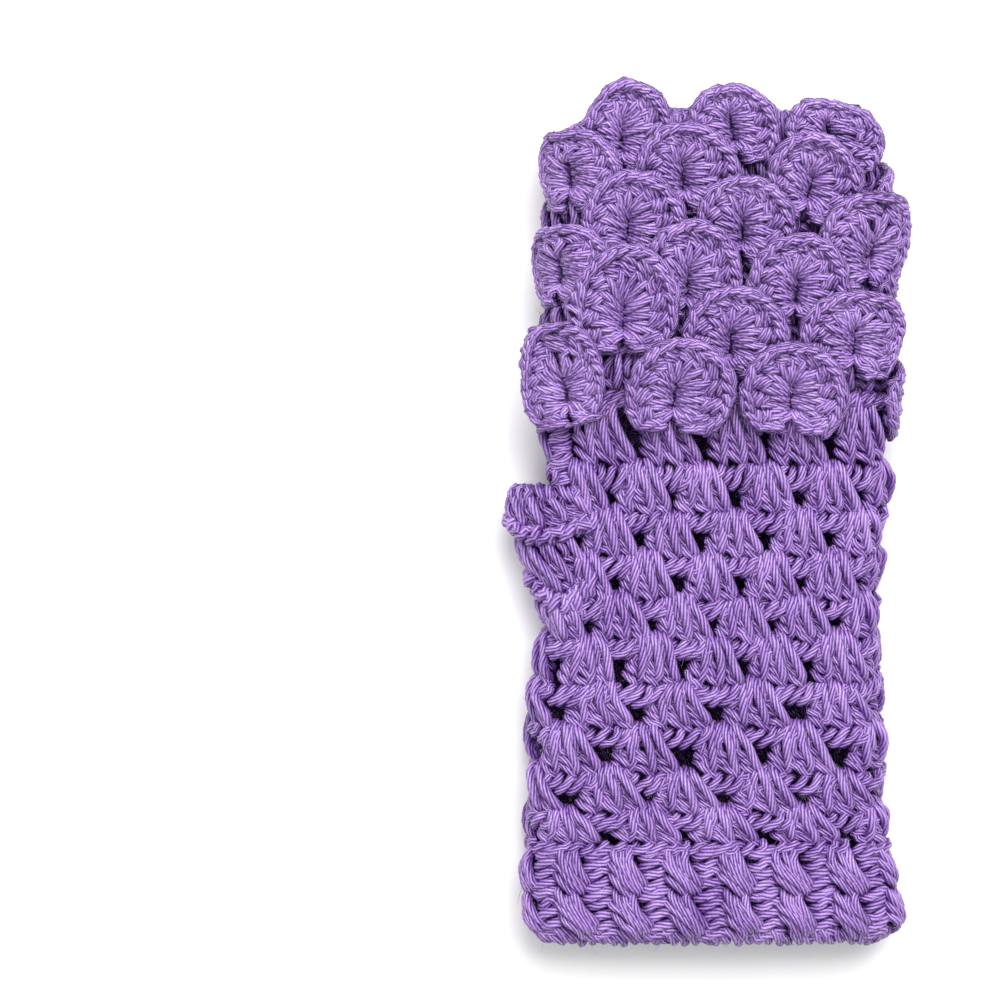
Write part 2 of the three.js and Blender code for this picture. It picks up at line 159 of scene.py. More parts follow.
class TubeForm:
    """The flattened tube that every stitch sits on: two straight sides joined by half circles."""

    def __init__(self, sizes: GloveSizes) -> None:
        """Works out the stations of the tube from the named sizes.

        Args:
            sizes: the driving sizes of the glove.
        """
        self.sizes = sizes
        gap = sizes.clearance
        wrist_start = sizes.cuff_length + gap
        palm_start = wrist_start + sizes.wrist_length + gap
        finger_start = palm_start + sizes.palm_length + gap
        self.starts = {
            Stretch.CUFF: 0.0,
            Stretch.WRIST: wrist_start,
            Stretch.PALM: palm_start,
            Stretch.FINGERS: finger_start,
        }
        self.lengths = {
            Stretch.CUFF: sizes.cuff_length,
            Stretch.WRIST: sizes.wrist_length,
            Stretch.PALM: sizes.palm_length,
            Stretch.FINGERS: sizes.finger_length,
        }
        widths = {
            Stretch.CUFF: sizes.cuff_width,
            Stretch.WRIST: sizes.hand_width,
            Stretch.PALM: sizes.hand_width,
            Stretch.FINGERS: sizes.finger_width,
        }
        self.slope = (sizes.scale_thickness + sizes.scale_stack_gap) / self._closest_rows()
        stack = gap + self.slope * (sizes.scale_length + sizes.scale_lobe_drop) + sizes.scale_thickness
        rise = sizes.underside_squash * stack
        rows = []
        for stretch, along, centre, width, rise_share, thick in SECTIONS:
            thickness = sizes.finger_thickness if stretch is Stretch.FINGERS else sizes.hand_thickness
            y = self.starts[stretch] + along * self.lengths[stretch]
            half_width = width * widths[stretch] / 2
            rows.append((y, centre * sizes.hand_width, half_width, rise_share * rise, thick * thickness))
        self.stations = np.array(rows)
        self.shift = (0.0, 0.0)
        self.shift = self._frame_shift()

    def row_along(self, row: ScaleRow) -> float:
        """Where a row of scales lies along y, before its slant."""
        return self.starts[Stretch.FINGERS] + row.along * self.lengths[Stretch.FINGERS]

    def _closest_rows(self) -> float:
        """Finds the least distance between scales of neighbouring rows, with their slants taken off.

        Returns:
            The distance along the glove.
        """
        least = math.inf
        for low, high in zip(SCALE_ROWS, SCALE_ROWS[1:]):
            apart = self.row_along(high) - self.row_along(low)
            step = max(high.slant, low.slant) * 2 / self.sizes.scales_per_row
            least = min(least, apart - (abs(high.slant - low.slant) + step) * self.sizes.scale_length)
        return least

    def station(self, column: Column, y: np.ndarray) -> np.ndarray:
        """A smooth value of the section at y.

        Args:
            column: which column of the stations to read.
            y: places along the glove.

        Returns:
            The value at each place.
        """
        ys = self.stations[:, Column.Y]
        values = self.stations[:, column]
        last = len(ys) - 1
        y = np.clip(y, ys[0], ys[-1])
        i = np.clip(np.searchsorted(ys, y, side="left") - 1, 0, last - 1)
        before = np.maximum(i - 1, 0)
        after = np.minimum(i + 2, last)
        step = ys[i + 1] - ys[i]
        t = (y - ys[i]) / step
        leaving = step * (values[i + 1] - values[before]) / (ys[i + 1] - ys[before])
        arriving = step * (values[after] - values[i]) / (ys[after] - ys[i])
        t2 = t * t
        t3 = t2 * t
        start = (2 * t3 - 3 * t2 + 1) * values[i] + (t3 - 2 * t2 + t) * leaving
        return start + (3 * t2 - 2 * t3) * values[i + 1] + (t3 - t2) * arriving

    def perimeter(self, y: np.ndarray) -> np.ndarray:
        """Measures the distance round the tube.

        Args:
            y: places along the glove.

        Returns:
            The distance at each place.
        """
        radius = self.station(Column.THICKNESS, y) / 2
        straight = 2 * (self.station(Column.HALF_WIDTH, y) - radius)
        return 2 * straight + 2 * math.pi * radius

    def pitch(self, y: float, count: int) -> float:
        """The width of one of count even stitches round the tube at y."""
        return float(self.perimeter(np.array(y))) / count

    def place(self, turn: np.ndarray, y: np.ndarray, height: np.ndarray) -> Placed:
        """Puts points at a height above the tube.

        Args:
            turn: share of the way round from the middle of the back.
            y: place along the glove.
            height: distance out of the tube.

        Returns:
            The points in the frame's millimetres, and the directions out of the tube.
        """
        turn, y, height = np.broadcast_arrays(turn, y, height)
        radius = self.station(Column.THICKNESS, y) / 2
        straight = 2 * (self.station(Column.HALF_WIDTH, y) - radius)
        perimeter = 2 * straight + 2 * math.pi * radius
        wrapped = turn - np.round(turn)
        side = np.where(wrapped < 0, -1.0, 1.0)
        run = np.abs(wrapped) * perimeter
        bend_start = straight / 2
        bend_length = math.pi * radius
        bend = np.clip(run - bend_start, 0, bend_length) / radius
        past = np.maximum(run - bend_start - bend_length, 0)
        across = np.minimum(run, bend_start) - past + radius * np.sin(bend)
        share = across / (bend_start + radius)
        crown = self.sizes.back_crown * (1 - share * share) * np.maximum(np.cos(bend), 0)
        out = np.stack([side * np.sin(bend), np.zeros_like(bend), np.cos(bend)], axis=-1)
        base = np.stack(
            [
                self.station(Column.CENTRE, y) + side * across + self.shift[0],
                y + self.shift[1],
                self.station(Column.RISE, y) + radius + radius * np.cos(bend) + crown,
            ],
            axis=-1,
        )
        return base + out * height[..., None], out

    def wrap(self, across: np.ndarray, along: np.ndarray, height: np.ndarray) -> Placed:
        """Wraps a flat pattern, in millimetres across and along, round the tube."""
        return self.place(across / self.perimeter(along), along, height)

    def inset_at_bends(
        self, turn: np.ndarray, y: np.ndarray, height: np.ndarray, inset: tuple[float, float]
    ) -> np.ndarray:
        """Finds how far fabric is drawn in at the two bends.

        Args:
            turn: share of the way round from the middle of the back.
            y: place along the glove.
            height: distance out of the tube.
            inset: the mean of both bends, and what the right one has more of.

        Returns:
            The distance inwards at each point.
        """
        _, out = self.place(turn, y, height)
        return (inset[0] + inset[1] * out[..., 0]) * (1 - np.abs(out[..., 2]))

    def _frame_shift(self) -> tuple[float, float]:
        """Finds how far the frame's origin moves the tube, from the box of the finger tube's node.

        Returns:
            The move across and along.
        """
        low, high = (np.array(corner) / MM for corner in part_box("finger_tube"))
        start = self.starts[Stretch.FINGERS]
        columns = self.sizes.finger_columns
        rows = len(SCALE_ROWS) + 1
        turns, ys = np.meshgrid(
            np.arange(columns) / columns,
            np.linspace(start, start + self.lengths[Stretch.FINGERS], rows + 1),
        )
        points, _ = self.place(turns, ys, np.zeros_like(ys))
        middle = (points[..., 0].min() + points[..., 0].max()) / 2
        return (low[0] + high[0]) / 2 - middle, low[1] - start


@dataclass(frozen=True)
class YarnSizes:
    """Sizes of the yarn, the painted shade that darkens it between stitches and on the sides of its strands,
    and the strips of its sheet of baked colour.
    """

    twist_pitch: float = 15.0
    uneven_shade: float = 0.10
    uneven_spread: float = 57.0
    soft_floor: float = 0.6
    # Painted shade: where it starts and how far it runs with height, its share from height and from side, and
    # how much of it inward sides are spared
    shade_start: float = 0.8
    shade_range: float = 2.6
    shade_by_height: float = 0.68
    shade_by_side: float = 0.85
    inner_lightness: float = 0.8
    hair_width: float = 0.10
    hair_lengths: tuple[float, float] = (1.0, 2.6)
    hair_bend: float = 0.55
    hair_rise: tuple[float, float] = (0.5, 0.15)
    hair_lowest: float = 4.0
    strip_width: float = 7.5
    strip_gap: float = 0.6
    column_height: float = 420.0
    bake_margin: float = 1.02


YARN = YarnSizes()

# Rings of a loose fibre: share of its length, and share of its width
HAIR_RINGS = ((0.0, 1.0), (0.4, 0.9), (0.75, 0.7), (1.0, 0.3))
HAIRS_IN_COLUMN = 60
HAIR_ROOM = (0.5, 4.0)
HAIR_STRIP = 0.2
TINY = 1e-9


def pressed(z: np.ndarray) -> np.ndarray:
    """Presses what would sink into the floor into a thin layer just above it."""
    low = np.minimum(z - YARN.soft_floor, 0.0) / YARN.soft_floor
    return np.where(z < YARN.soft_floor, YARN.soft_floor * np.exp(low), z)


def shade_between_stitches(height: np.ndarray, facing: np.ndarray) -> np.ndarray:
    """Painted shade of a point, from 0 on top of its stitches to 1 down between them and on the sides of
    strands, where shade falls.

    Args:
        height: height of the point above the middle of the fabric.
        facing: how squarely the strand's surface faces out of the fabric there.

    Returns:
        The depth of each point.
    """
    # Painted shade: low points and the sides of strands are darkened as shade, inward sides less so
    low = 1 - np.clip((height + YARN.shade_start) / YARN.shade_range, 0, 1)
    side = 1 - np.clip(facing, 0, 1)
    inner = np.clip(-facing, 0, 1)
    shade_values = np.clip(YARN.shade_by_height * low + YARN.shade_by_side * side, 0, 1)
    return shade_values * (1 - YARN.inner_lightness * inner)


@dataclass
class YarnMesh:
    """Collects strands of yarn and thin sheets, and writes them as one mesh."""

    sides: int = 7
    # shade is painted shade added over the whole piece
    shade: float = 0.0
    count: int = 0
    vertices: list[np.ndarray] = field(default_factory=list)
    # Painted shade of each point
    shade_values: list[np.ndarray] = field(default_factory=list)
    quads: list[np.ndarray] = field(default_factory=list)
    quad_uv: list[np.ndarray] = field(default_factory=list)
    quad_bake: list[np.ndarray] = field(default_factory=list)
    triangles: list[np.ndarray] = field(default_factory=list)
    triangle_uv: list[np.ndarray] = field(default_factory=list)
    triangle_bake: list[np.ndarray] = field(default_factory=list)
    strip: list[float] = field(default_factory=lambda: [0.0, 0.0])

    def _strip_for(self, length: float) -> tuple[float, float]:
        """Finds room for one strand in the sheet of strips that its baked picture uses.

        Args:
            length: length of the strand.

        Returns:
            Where its strip starts, across and along the sheet.
        """
        if self.strip[1] + length > YARN.column_height:
            self.strip = [self.strip[0] + YARN.strip_width, 0.0]
        place = (self.strip[0], self.strip[1])
        self.strip[1] += length + YARN.strip_gap
        return place

    @staticmethod
    def _across(centres: np.ndarray, outs: np.ndarray) -> tuple[np.ndarray, np.ndarray]:
        """Finds the directions across each strand, of which the first leans out of the fabric.

        Args:
            centres: points along each strand, as strands by points by three.
            outs: direction out of the fabric at each point.

        Returns:
            Two directions at each point, square to the strand and to each other.
        """
        tangents = np.gradient(centres, axis=1)
        tangents /= np.linalg.norm(tangents, axis=2, keepdims=True) + TINY
        normals = outs - (outs * tangents).sum(2, keepdims=True) * tangents
        normals /= np.linalg.norm(normals, axis=2, keepdims=True) + TINY
        return normals, np.cross(tangents, normals)

    def _strand_faces(self, rings: int) -> tuple[np.ndarray, np.ndarray]:
        """Makes the faces of one strand: four-sided between its rings, three-sided at its two tips.

        Args:
            rings: number of points along the strand, its tips among them.

        Returns:
            The four-sided and the three-sided faces, as vertex numbers.
        """
        j = np.arange(self.sides)
        following = (j + 1) % self.sides
        ring = 1 + np.arange(rings - 3)[:, None] * self.sides
        a, b = ring + j, ring + following
        quads = np.stack([a, b, b + self.sides, a + self.sides], axis=-1).reshape(-1, 4)
        last_ring = 1 + (rings - 3) * self.sides
        end = last_ring + self.sides
        first = np.stack([np.zeros_like(j), 1 + following, 1 + j], axis=-1)
        last = np.stack([np.full_like(j, end), last_ring + j, last_ring + following], axis=-1)
        return quads, np.concatenate([first, last])

    def _strand_uv(self, travel: np.ndarray) -> tuple[np.ndarray, np.ndarray]:
        """Makes the surface coordinates of strands: turns round the yarn, and places along it.

        Args:
            travel: distance along each strand at each of its points.

        Returns:
            The coordinates of the four-sided and of the three-sided faces, strand by strand.
        """
        strands, rings = travel.shape
        u0 = np.arange(self.sides) / self.sides
        u1 = (np.arange(self.sides) + 1) / self.sides
        ones = np.ones((strands, rings - 3, self.sides))
        low, high = travel[:, 1:-2, None] * ones, travel[:, 2:-1, None] * ones
        left, right = u0 * ones, u1 * ones
        corners = ((left, low), (right, low), (right, high), (left, high))
        quad_uv = np.stack([np.stack(corner, -1) for corner in corners], axis=-2)
        row = np.ones((strands, self.sides))
        middle, left, right = (u0 + u1) / 2 * row, u0 * row, u1 * row
        tips = []
        for tip, ring, near, far in ((0, 1, right, left), (-1, -2, left, right)):
            at_tip, at_ring = travel[:, tip, None] * row, travel[:, ring, None] * row
            corners = ((middle, at_tip), (near, at_ring), (far, at_ring))
            tips.append(np.stack([np.stack(corner, -1) for corner in corners], axis=-2))
        return quad_uv.reshape(strands, -1, 4, 2), np.concatenate(tips, axis=1)

    def add_strands(
        self, centres: np.ndarray, outs: np.ndarray, radius: np.ndarray, phase: np.ndarray, height: np.ndarray
    ) -> None:
        """Adds strands of twisted plies, each closed to a point at both ends.

        Args:
            centres: points along each strand, as strands by points by three.
            outs: direction out of the fabric at each point.
            radius: radius at each point, as strands by points.
            phase: turn of the plies at the start of each strand.
            height: height of each point above the middle of the fabric.
        """
        strands, rings, _ = centres.shape
        lengths = np.linalg.norm(np.diff(centres, axis=1), axis=2)
        travel = np.concatenate([np.zeros((strands, 1)), np.cumsum(lengths, axis=1)], axis=1)
        normals, sides = self._across(centres, outs)
        twist = travel / YARN.twist_pitch + phase[:, None]
        angle = 2 * math.pi * (np.arange(self.sides)[None, None] / self.sides + twist[..., None])
        facing = np.cos(angle)
        around = facing[..., None] * normals[:, :, None] + np.sin(angle)[..., None] * sides[:, :, None]
        tube = centres[:, :, None] + radius[..., None, None] * around
        inner = tube[:, 1:-1].reshape(strands, -1, 3)
        block = np.concatenate([centres[:, :1], inner, centres[:, -1:]], axis=1)
        block[..., 2] = pressed(block[..., 2])
        # Each point's painted shade from its height and side, plus the piece's painted shade, plus a tone
        # that differs at random from strand to strand
        uneven = self.shade + YARN.uneven_shade * np.sin(YARN.uneven_spread * phase)[:, None, None]
        painted_shade = shade_between_stitches(height[..., None] + radius[..., None] * facing, facing)[:, 1:-1] + uneven
        # The tips dive into the fabric and take full painted shade
        tips = np.ones((strands, 1))
        painted_shade = np.concatenate([tips, painted_shade.reshape(strands, -1), tips], axis=1)
        quads, triangles = self._strand_faces(rings)
        quad_uv, triangle_uv = self._strand_uv(travel)
        starts = self.count + np.arange(strands)[:, None, None] * block.shape[1]
        offsets = np.array([self._strip_for(float(length)) for length in travel[:, -1]])[:, None, None]
        stretch = np.array([YARN.strip_width - YARN.strip_gap, 1.0])
        self.vertices.append(block.reshape(-1, 3))
        self.shade_values.append(painted_shade.ravel())
        self.quads.append((quads[None] + starts).reshape(-1, 4))
        self.triangles.append((triangles[None] + starts).reshape(-1, 3))
        self.quad_uv.append(quad_uv.reshape(-1, 4, 2))
        self.triangle_uv.append(triangle_uv.reshape(-1, 3, 2))
        self.quad_bake.append((quad_uv * stretch + offsets).reshape(-1, 4, 2))
        self.triangle_bake.append((triangle_uv * stretch + offsets).reshape(-1, 3, 2))
        self.count += strands * block.shape[1]

    def add_hairs(self, share: float, rng: np.random.Generator) -> None:
        """Adds loose fibres that stand out of the strands so far.

        Args:
            share: how many of the strands' points carry a fibre.
            rng: source of their places and directions.
        """
        points = np.concatenate(self.vertices)
        roots = points[rng.random(len(points)) < share]
        roots = roots[roots[:, 2] > YARN.hair_lowest]
        count = len(roots)
        if count == 0:
            return
        way = rng.normal(0, 1, (count, 3))
        way[:, 2] = np.abs(way[:, 2]) * YARN.hair_rise[0] + YARN.hair_rise[1]
        way /= np.linalg.norm(way, axis=1)[:, None]
        bend = rng.normal(0, YARN.hair_bend, (count, 3))
        length = rng.uniform(*YARN.hair_lengths, count)[:, None]
        across = np.cross(way, rng.normal(0, 1, (count, 3)))
        across *= YARN.hair_width / 2 / np.linalg.norm(across, axis=1)[:, None]
        rows = []
        for along, thin in HAIR_RINGS:
            middle = roots + length * (way * along + bend * along * along)
            rows += [middle - across * thin, middle + across * thin]
        block = np.stack(rows, axis=1)
        steps = range(len(HAIR_RINGS) - 1)
        quad = np.array([[2 * k, 2 * k + 1, 2 * k + 3, 2 * k + 2] for k in steps])
        number = np.arange(count)[:, None, None]
        quads = quad[None] + number * len(rows)
        flat = [[[0.0, k], [HAIR_STRIP, k], [HAIR_STRIP, k + 1], [0.0, k + 1]] for k in steps]
        uv = np.tile(np.array(flat), (count, 1, 1, 1))
        uv[..., 0] += (number // HAIRS_IN_COLUMN) * HAIR_ROOM[0]
        uv[..., 1] += number % HAIRS_IN_COLUMN * HAIR_ROOM[1]
        flat_uv = uv.reshape(-1, 4, 2)
        self.add_faces(block.reshape(-1, 3), quads.reshape(-1, 4), flat_uv, flat_uv, 0.0)

    def add_faces(
        self, vertices: np.ndarray, quads: np.ndarray, uv: np.ndarray, yarn_uv: np.ndarray, painted_shade: float = 0.55
    ) -> None:
        """Adds a sheet of four-sided faces.

        Args:
            vertices: points of the sheet.
            quads: four vertex numbers to a face.
            uv: places in millimetres on the sheet, as faces by four by two.
            yarn_uv: turns round the yarn and places along it, that draw plies on the sheet.
            painted_shade: painted shade of the sheet, from 0 to 1, for how far down in the fabric it lies.
        """
        low, high = uv.reshape(-1, 2).min(0), uv.reshape(-1, 2).max(0)
        start = self.strip[0] + YARN.strip_width
        self.strip = [start + float(high[0] - low[0]), 0.0]
        self.vertices.append(vertices)
        self.shade_values.append(np.full(len(vertices), painted_shade))
        self.quads.append(quads + self.count)
        self.quad_uv.append(yarn_uv)
        self.quad_bake.append(uv + (np.array([start, 0.0]) - low))
        self.count += len(vertices)

    def write(self, name: str, finish: bpy.types.Material, nodes: tuple[str, ...]) -> None:
        """Makes the mesh, dresses it, and stands it in for its nodes.

        Args:
            name: name of the piece.
            finish: material of the piece.
            nodes: the frame's nodes that it stands for.
        """
        vertices = np.concatenate(self.vertices) * MM
        quads = np.concatenate(self.quads)
        triangles = np.concatenate(self.triangles)
        mesh = bpy.data.meshes.new(name)
        mesh.vertices.add(len(vertices))
        mesh.vertices.foreach_set("co", vertices.astype(np.float32).ravel())
        loops = np.concatenate([quads.ravel(), triangles.ravel()]).astype(np.int32)
        mesh.loops.add(len(loops))
        mesh.loops.foreach_set("vertex_index", loops)
        totals = np.concatenate([np.full(len(quads), 4), np.full(len(triangles), 3)]).astype(np.int32)
        mesh.polygons.add(len(totals))
        mesh.polygons.foreach_set("loop_start", (np.cumsum(totals) - totals).astype(np.int32))
        mesh.polygons.foreach_set("loop_total", totals)
        mesh.polygons.foreach_set("use_smooth", np.ones(len(totals), dtype=bool))
        self._write_uv(mesh, "Yarn", self.quad_uv + self.triangle_uv, 1.0)
        bake = self.quad_bake + self.triangle_bake
        farthest = max(float(part.max()) for part in bake)
        self._write_uv(mesh, "OFBake", bake, YARN.bake_margin * farthest)
        mesh.update(calc_edges=True)
        # Each point's painted shade, which the material darkens the colour by
        sunk = mesh.attributes.new(name="Depth", type="FLOAT", domain="POINT")
        sunk.data.foreach_set("value", np.concatenate(self.shade_values).astype(np.float32))
        mesh.materials.append(finish)
        piece = bpy.data.objects.new(name, mesh)
        bpy.context.scene.collection.objects.link(piece)
        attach(piece, BODY)
        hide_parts(*nodes)
        log.info("%s: %d triangles", name, 2 * len(quads) + len(triangles))

    @staticmethod
    def _write_uv(mesh: bpy.types.Mesh, name: str, parts: list[np.ndarray], size: float) -> None:
        """Writes one set of surface coordinates.

        Args:
            mesh: the mesh that takes it.
            name: name of the set.
            parts: coordinates of the faces' corners, in the order of the faces.
            size: what they are divided by.
        """
        layer = mesh.uv_layers.new(name=name)
        corners = np.concatenate([part.reshape(-1, 2) for part in parts])
        layer.data.foreach_set("uv", (corners / size).astype(np.float32).ravel())


@dataclass(frozen=True)
class Strand:
    """One visible length of yarn in a stitch.

    points holds along (share of the stitch's length), side (share of its width) and height (mm).
    """

    points: tuple[tuple[float, float, float], ...]
    thickness: float = 1.0


def chain_top() -> tuple[Strand, ...]:
    """Lists the slanting chain strands that lie across the top of a stitch.

    Returns:
        The two strands, from left to right.
    """
    return (
        Strand(((1.15, -0.66, -1.0), (1.11, -0.54, 0.3), (1.02, -0.28, 1.0), (0.93, -0.04, 0.9),
                (0.86, 0.12, 0.0), (0.84, 0.18, -1.0))),
        Strand(((1.16, -0.18, -1.0), (1.12, -0.06, 0.3), (1.03, 0.20, 1.0), (0.94, 0.44, 0.9),
                (0.87, 0.60, 0.0), (0.85, 0.66, -1.0))),
    )


def wrap_strand(along: float, slope: float, height: float) -> Strand:
    """Makes a wrap that slants across the post of a stitch.

    Args:
        along: where its middle lies.
        slope: how far it runs along the stitch.
        height: how far its middle stands above the fabric.

    Returns:
        The strand.
    """
    half = slope / 2
    return Strand(((along - half, -0.58, height - 1.9), (along - 0.7 * half, -0.46, height - 0.6),
                   (along - 0.2 * half, -0.20, height), (along + 0.3 * half, 0.08, height),
                   (along + 0.8 * half, 0.30, height - 0.7), (along + half, 0.40, height - 1.9)), 0.95)


def tall_stitch(wraps: tuple[float, ...]) -> tuple[Strand, ...]:
    """Lists the strands of a tall stitch: two legs, the wraps round its post and the chain on its top.

    Args:
        wraps: where along the stitch the wraps lie.

    Returns:
        The strands, from the base of the stitch to its top.
    """
    legs = (
        Strand(((0.00, -0.16, -2.2), (0.04, -0.20, -0.6), (0.14, -0.28, 0.7), (0.30, -0.32, 1.0),
                (0.45, -0.30, 0.4), (0.53, -0.26, -0.9)), 1.00),
        Strand(((0.00, 0.16, -2.2), (0.04, 0.18, -0.4), (0.16, 0.20, 1.2), (0.38, 0.26, 1.9),
                (0.62, 0.34, 1.5), (0.76, 0.32, 0.4), (0.82, 0.28, -1.1)), 1.12),
    )
    return legs + tuple(wrap_strand(along, 0.24, 0.55) for along in wraps) + chain_top()


def edge_loop() -> tuple[Strand, ...]:
    """Lists the strands of an edge stitch, which hook over the edge of the fabric.

    Returns:
        The two strands, from left to right.
    """
    return (
        Strand(((0.00, -0.30, -1.2), (0.12, -0.34, 0.4), (0.45, -0.24, 1.1), (0.80, -0.04, 0.9),
                (1.06, 0.10, -0.3), (1.02, 0.16, -1.8))),
        Strand(((0.10, 0.16, -1.2), (0.22, 0.14, 0.3), (0.52, 0.24, 1.0), (0.82, 0.44, 0.8),
                (1.04, 0.58, -0.4), (1.00, 0.64, -1.8))),
    )


def fan_stitch() -> tuple[Strand, ...]:
    """Lists the strands of one stitch of a scale, shorter and finer than in the hand.

    Returns:
        The strands, from the crease of the scale to its free edge.
    """
    legs = (
        Strand(((0.00, -0.25, -1.6), (0.05, -0.25, 0.0), (0.20, -0.27, 0.9), (0.36, -0.27, 0.9),
                (0.50, -0.24, 0.1), (0.56, -0.20, -0.9))),
        Strand(((0.00, 0.25, -1.6), (0.05, 0.25, 0.1), (0.22, 0.26, 1.0), (0.42, 0.28, 1.0),
                (0.60, 0.30, 0.4), (0.68, 0.28, -0.8))),
    )
    wraps = tuple(wrap_strand(along, 0.17, 0.65) for along in (0.56, 0.69, 0.82))
    top = (
        Strand(((1.06, -0.62, -0.7), (1.04, -0.50, 0.5), (0.97, -0.26, 1.1), (0.91, -0.02, 0.9),
                (0.87, 0.12, 0.0), (0.86, 0.18, -0.8))),
        Strand(((1.06, -0.14, -0.7), (1.04, -0.02, 0.5), (0.98, 0.22, 1.1), (0.92, 0.46, 0.9),
                (0.88, 0.58, 0.0), (0.87, 0.64, -0.8))),
    )
    edge = (
        Strand(((1.02, -0.85, -0.6), (1.05, -0.55, 0.4), (1.07, -0.15, 0.8), (1.07, 0.25, 0.8),
                (1.05, 0.60, 0.4), (1.02, 0.90, -0.6)), 0.66),
    )
    return legs + wraps + top + edge


def raised_post() -> tuple[Strand, ...]:
    """Lists the strands of a raised post of the ribbed cuff, which lean like a twisted rope.

    Returns:
        The five strands.
    """
    return (
        Strand(((0.00, -0.30, -1.6), (0.07, -0.36, 0.3), (0.28, -0.26, 1.6), (0.58, 0.02, 2.0),
                (0.84, 0.28, 1.2), (0.95, 0.36, -0.8)), 1.05),
        Strand(((0.00, 0.28, -1.6), (0.07, 0.28, 0.3), (0.24, 0.20, 1.4), (0.48, 0.27, 1.8),
                (0.72, 0.44, 1.0), (0.82, 0.50, -0.8)), 1.05),
        Strand(((0.28, -0.60, -1.0), (0.34, -0.50, 0.4), (0.48, -0.30, 1.6), (0.70, -0.04, 2.0),
                (0.90, 0.15, 1.1), (1.00, 0.20, -0.8)), 1.05),
        Strand(((0.52, -0.60, -1.0), (0.58, -0.50, 0.5), (0.72, -0.34, 1.5), (0.88, -0.14, 1.5),
                (1.02, 0.04, 0.5), (1.08, 0.10, -1.0))),
        Strand(((0.12, -0.02, -0.8), (0.16, -0.06, 0.6), (0.30, 0.00, 1.6), (0.46, 0.12, 1.8),
                (0.60, 0.22, 1.2), (0.70, 0.24, 0.0))),
    )


def sunk_post() -> tuple[Strand, ...]:
    """Lists the strands of a sunk post of the ribbed cuff, of which only a stack of wraps shows.

    Returns:
        The wraps, from the base of the post to its top.
    """
    return tuple(
        Strand(((along + 0.12, -0.62, -1.2), (along + 0.09, -0.45, 0.1), (along + 0.03, -0.15, 0.9),
                (along - 0.05, 0.15, 0.9), (along - 0.09, 0.45, 0.1), (along - 0.11, 0.62, -1.2)), 1.2)
        for along in (0.10, 0.33, 0.56, 0.79, 1.00)
    )


def smooth_basis(points: int, samples: int) -> np.ndarray:
    """Weights that turn a strand's control points into points on a smooth curve.

    Args:
        points: number of control points.
        samples: number of points on the curve.

    Returns:
        A matrix of samples by points.
    """
    basis = np.zeros((samples, points))
    for row, place in enumerate(np.linspace(0, points - 1, samples)):
        i = min(int(place), points - 2)
        t = place - i
        weights = (
            -0.5 * t + t * t - 0.5 * t ** 3,
            1 - 2.5 * t * t + 1.5 * t ** 3,
            0.5 * t + 2 * t * t - 1.5 * t ** 3,
            -0.5 * t * t + 0.5 * t ** 3,
        )
        for offset, weight in zip((-1, 0, 1, 2), weights):
            basis[row, min(max(i + offset, 0), points - 1)] += weight
    return basis


@dataclass
class StitchSet:
    """Stitches that share one surface, each from a base to a top on its flat pattern.

    base and top hold across and along in millimetres. base_side and top_side point across the stitch at its
    base and at its top, and are as long as the stitch is wide there. lift is its height above the surface.
    """

    base: np.ndarray
    top: np.ndarray
    base_side: np.ndarray
    top_side: np.ndarray
    lift: np.ndarray
    yarn_radius: float = 1.02
    ring_step: float = 0.85
    jitter: float = 0.16
    least_rings: int = 6
    side_blend: float = 0.8
    tip_size: float = 0.72
    tip_share: float = 0.22
    yarn_range: tuple[float, float] = (0.95, 1.06)

    def work(
        self, mesh: YarnMesh, strands: tuple[Strand, ...], mapping: Mapping, rng: np.random.Generator
    ) -> None:
        """Adds every strand of every stitch to a mesh.

        Args:
            mesh: the mesh that takes the strands.
            strands: the strands of one stitch.
            mapping: puts across, along and height into space.
            rng: source of the small unevenness of hand work.
        """
        count = len(self.base)
        run = self.top - self.base
        length = np.linalg.norm(run, axis=1)
        width = np.linalg.norm(self.top_side, axis=1)
        beyond = np.stack([self.top_side[:, 1], -self.top_side[:, 0]], axis=1) * (length / width)[:, None]
        uneven = np.stack([self.jitter / length, self.jitter / width, np.full(count, self.jitter)], axis=1)
        for strand in strands:
            points = np.array(strand.points)
            control = points[None].repeat(count, 0)
            control = control + rng.normal(0, 1, control.shape) * uneven[:, None]
            steps = np.diff(points * [length.mean(), width.mean(), 1.0], axis=0)
            reach = np.linalg.norm(steps, axis=1).sum()
            rings = max(self.least_rings, int(round(reach / self.ring_step)) + 1)
            route = np.einsum("kc,dcx->dkx", smooth_basis(len(points), rings), control)
            along, side, height = route[..., 0:1], route[..., 1:2], route[..., 2]
            blend = np.clip(along, 0, 1) ** self.side_blend
            sideways = self.base_side[:, None] * (1 - blend) + self.top_side[:, None] * blend
            flat = self.base[:, None] + run[:, None] * np.minimum(along, 1) + sideways * side
            flat = flat + beyond[:, None] * np.maximum(along - 1, 0)
            centres, outs = mapping(flat[..., 0], flat[..., 1], height + self.lift[:, None])
            from_tip = np.minimum(np.linspace(0, 1, rings), np.linspace(1, 0, rings))
            swell = self.tip_size + (1 - self.tip_size) * np.clip(from_tip / self.tip_share, 0, 1)
            spread = rng.uniform(*self.yarn_range, (count, 1))
            radius = self.yarn_radius * strand.thickness * swell[None] * spread
            mesh.add_strands(centres, outs, radius, rng.uniform(0, 1, count), height)


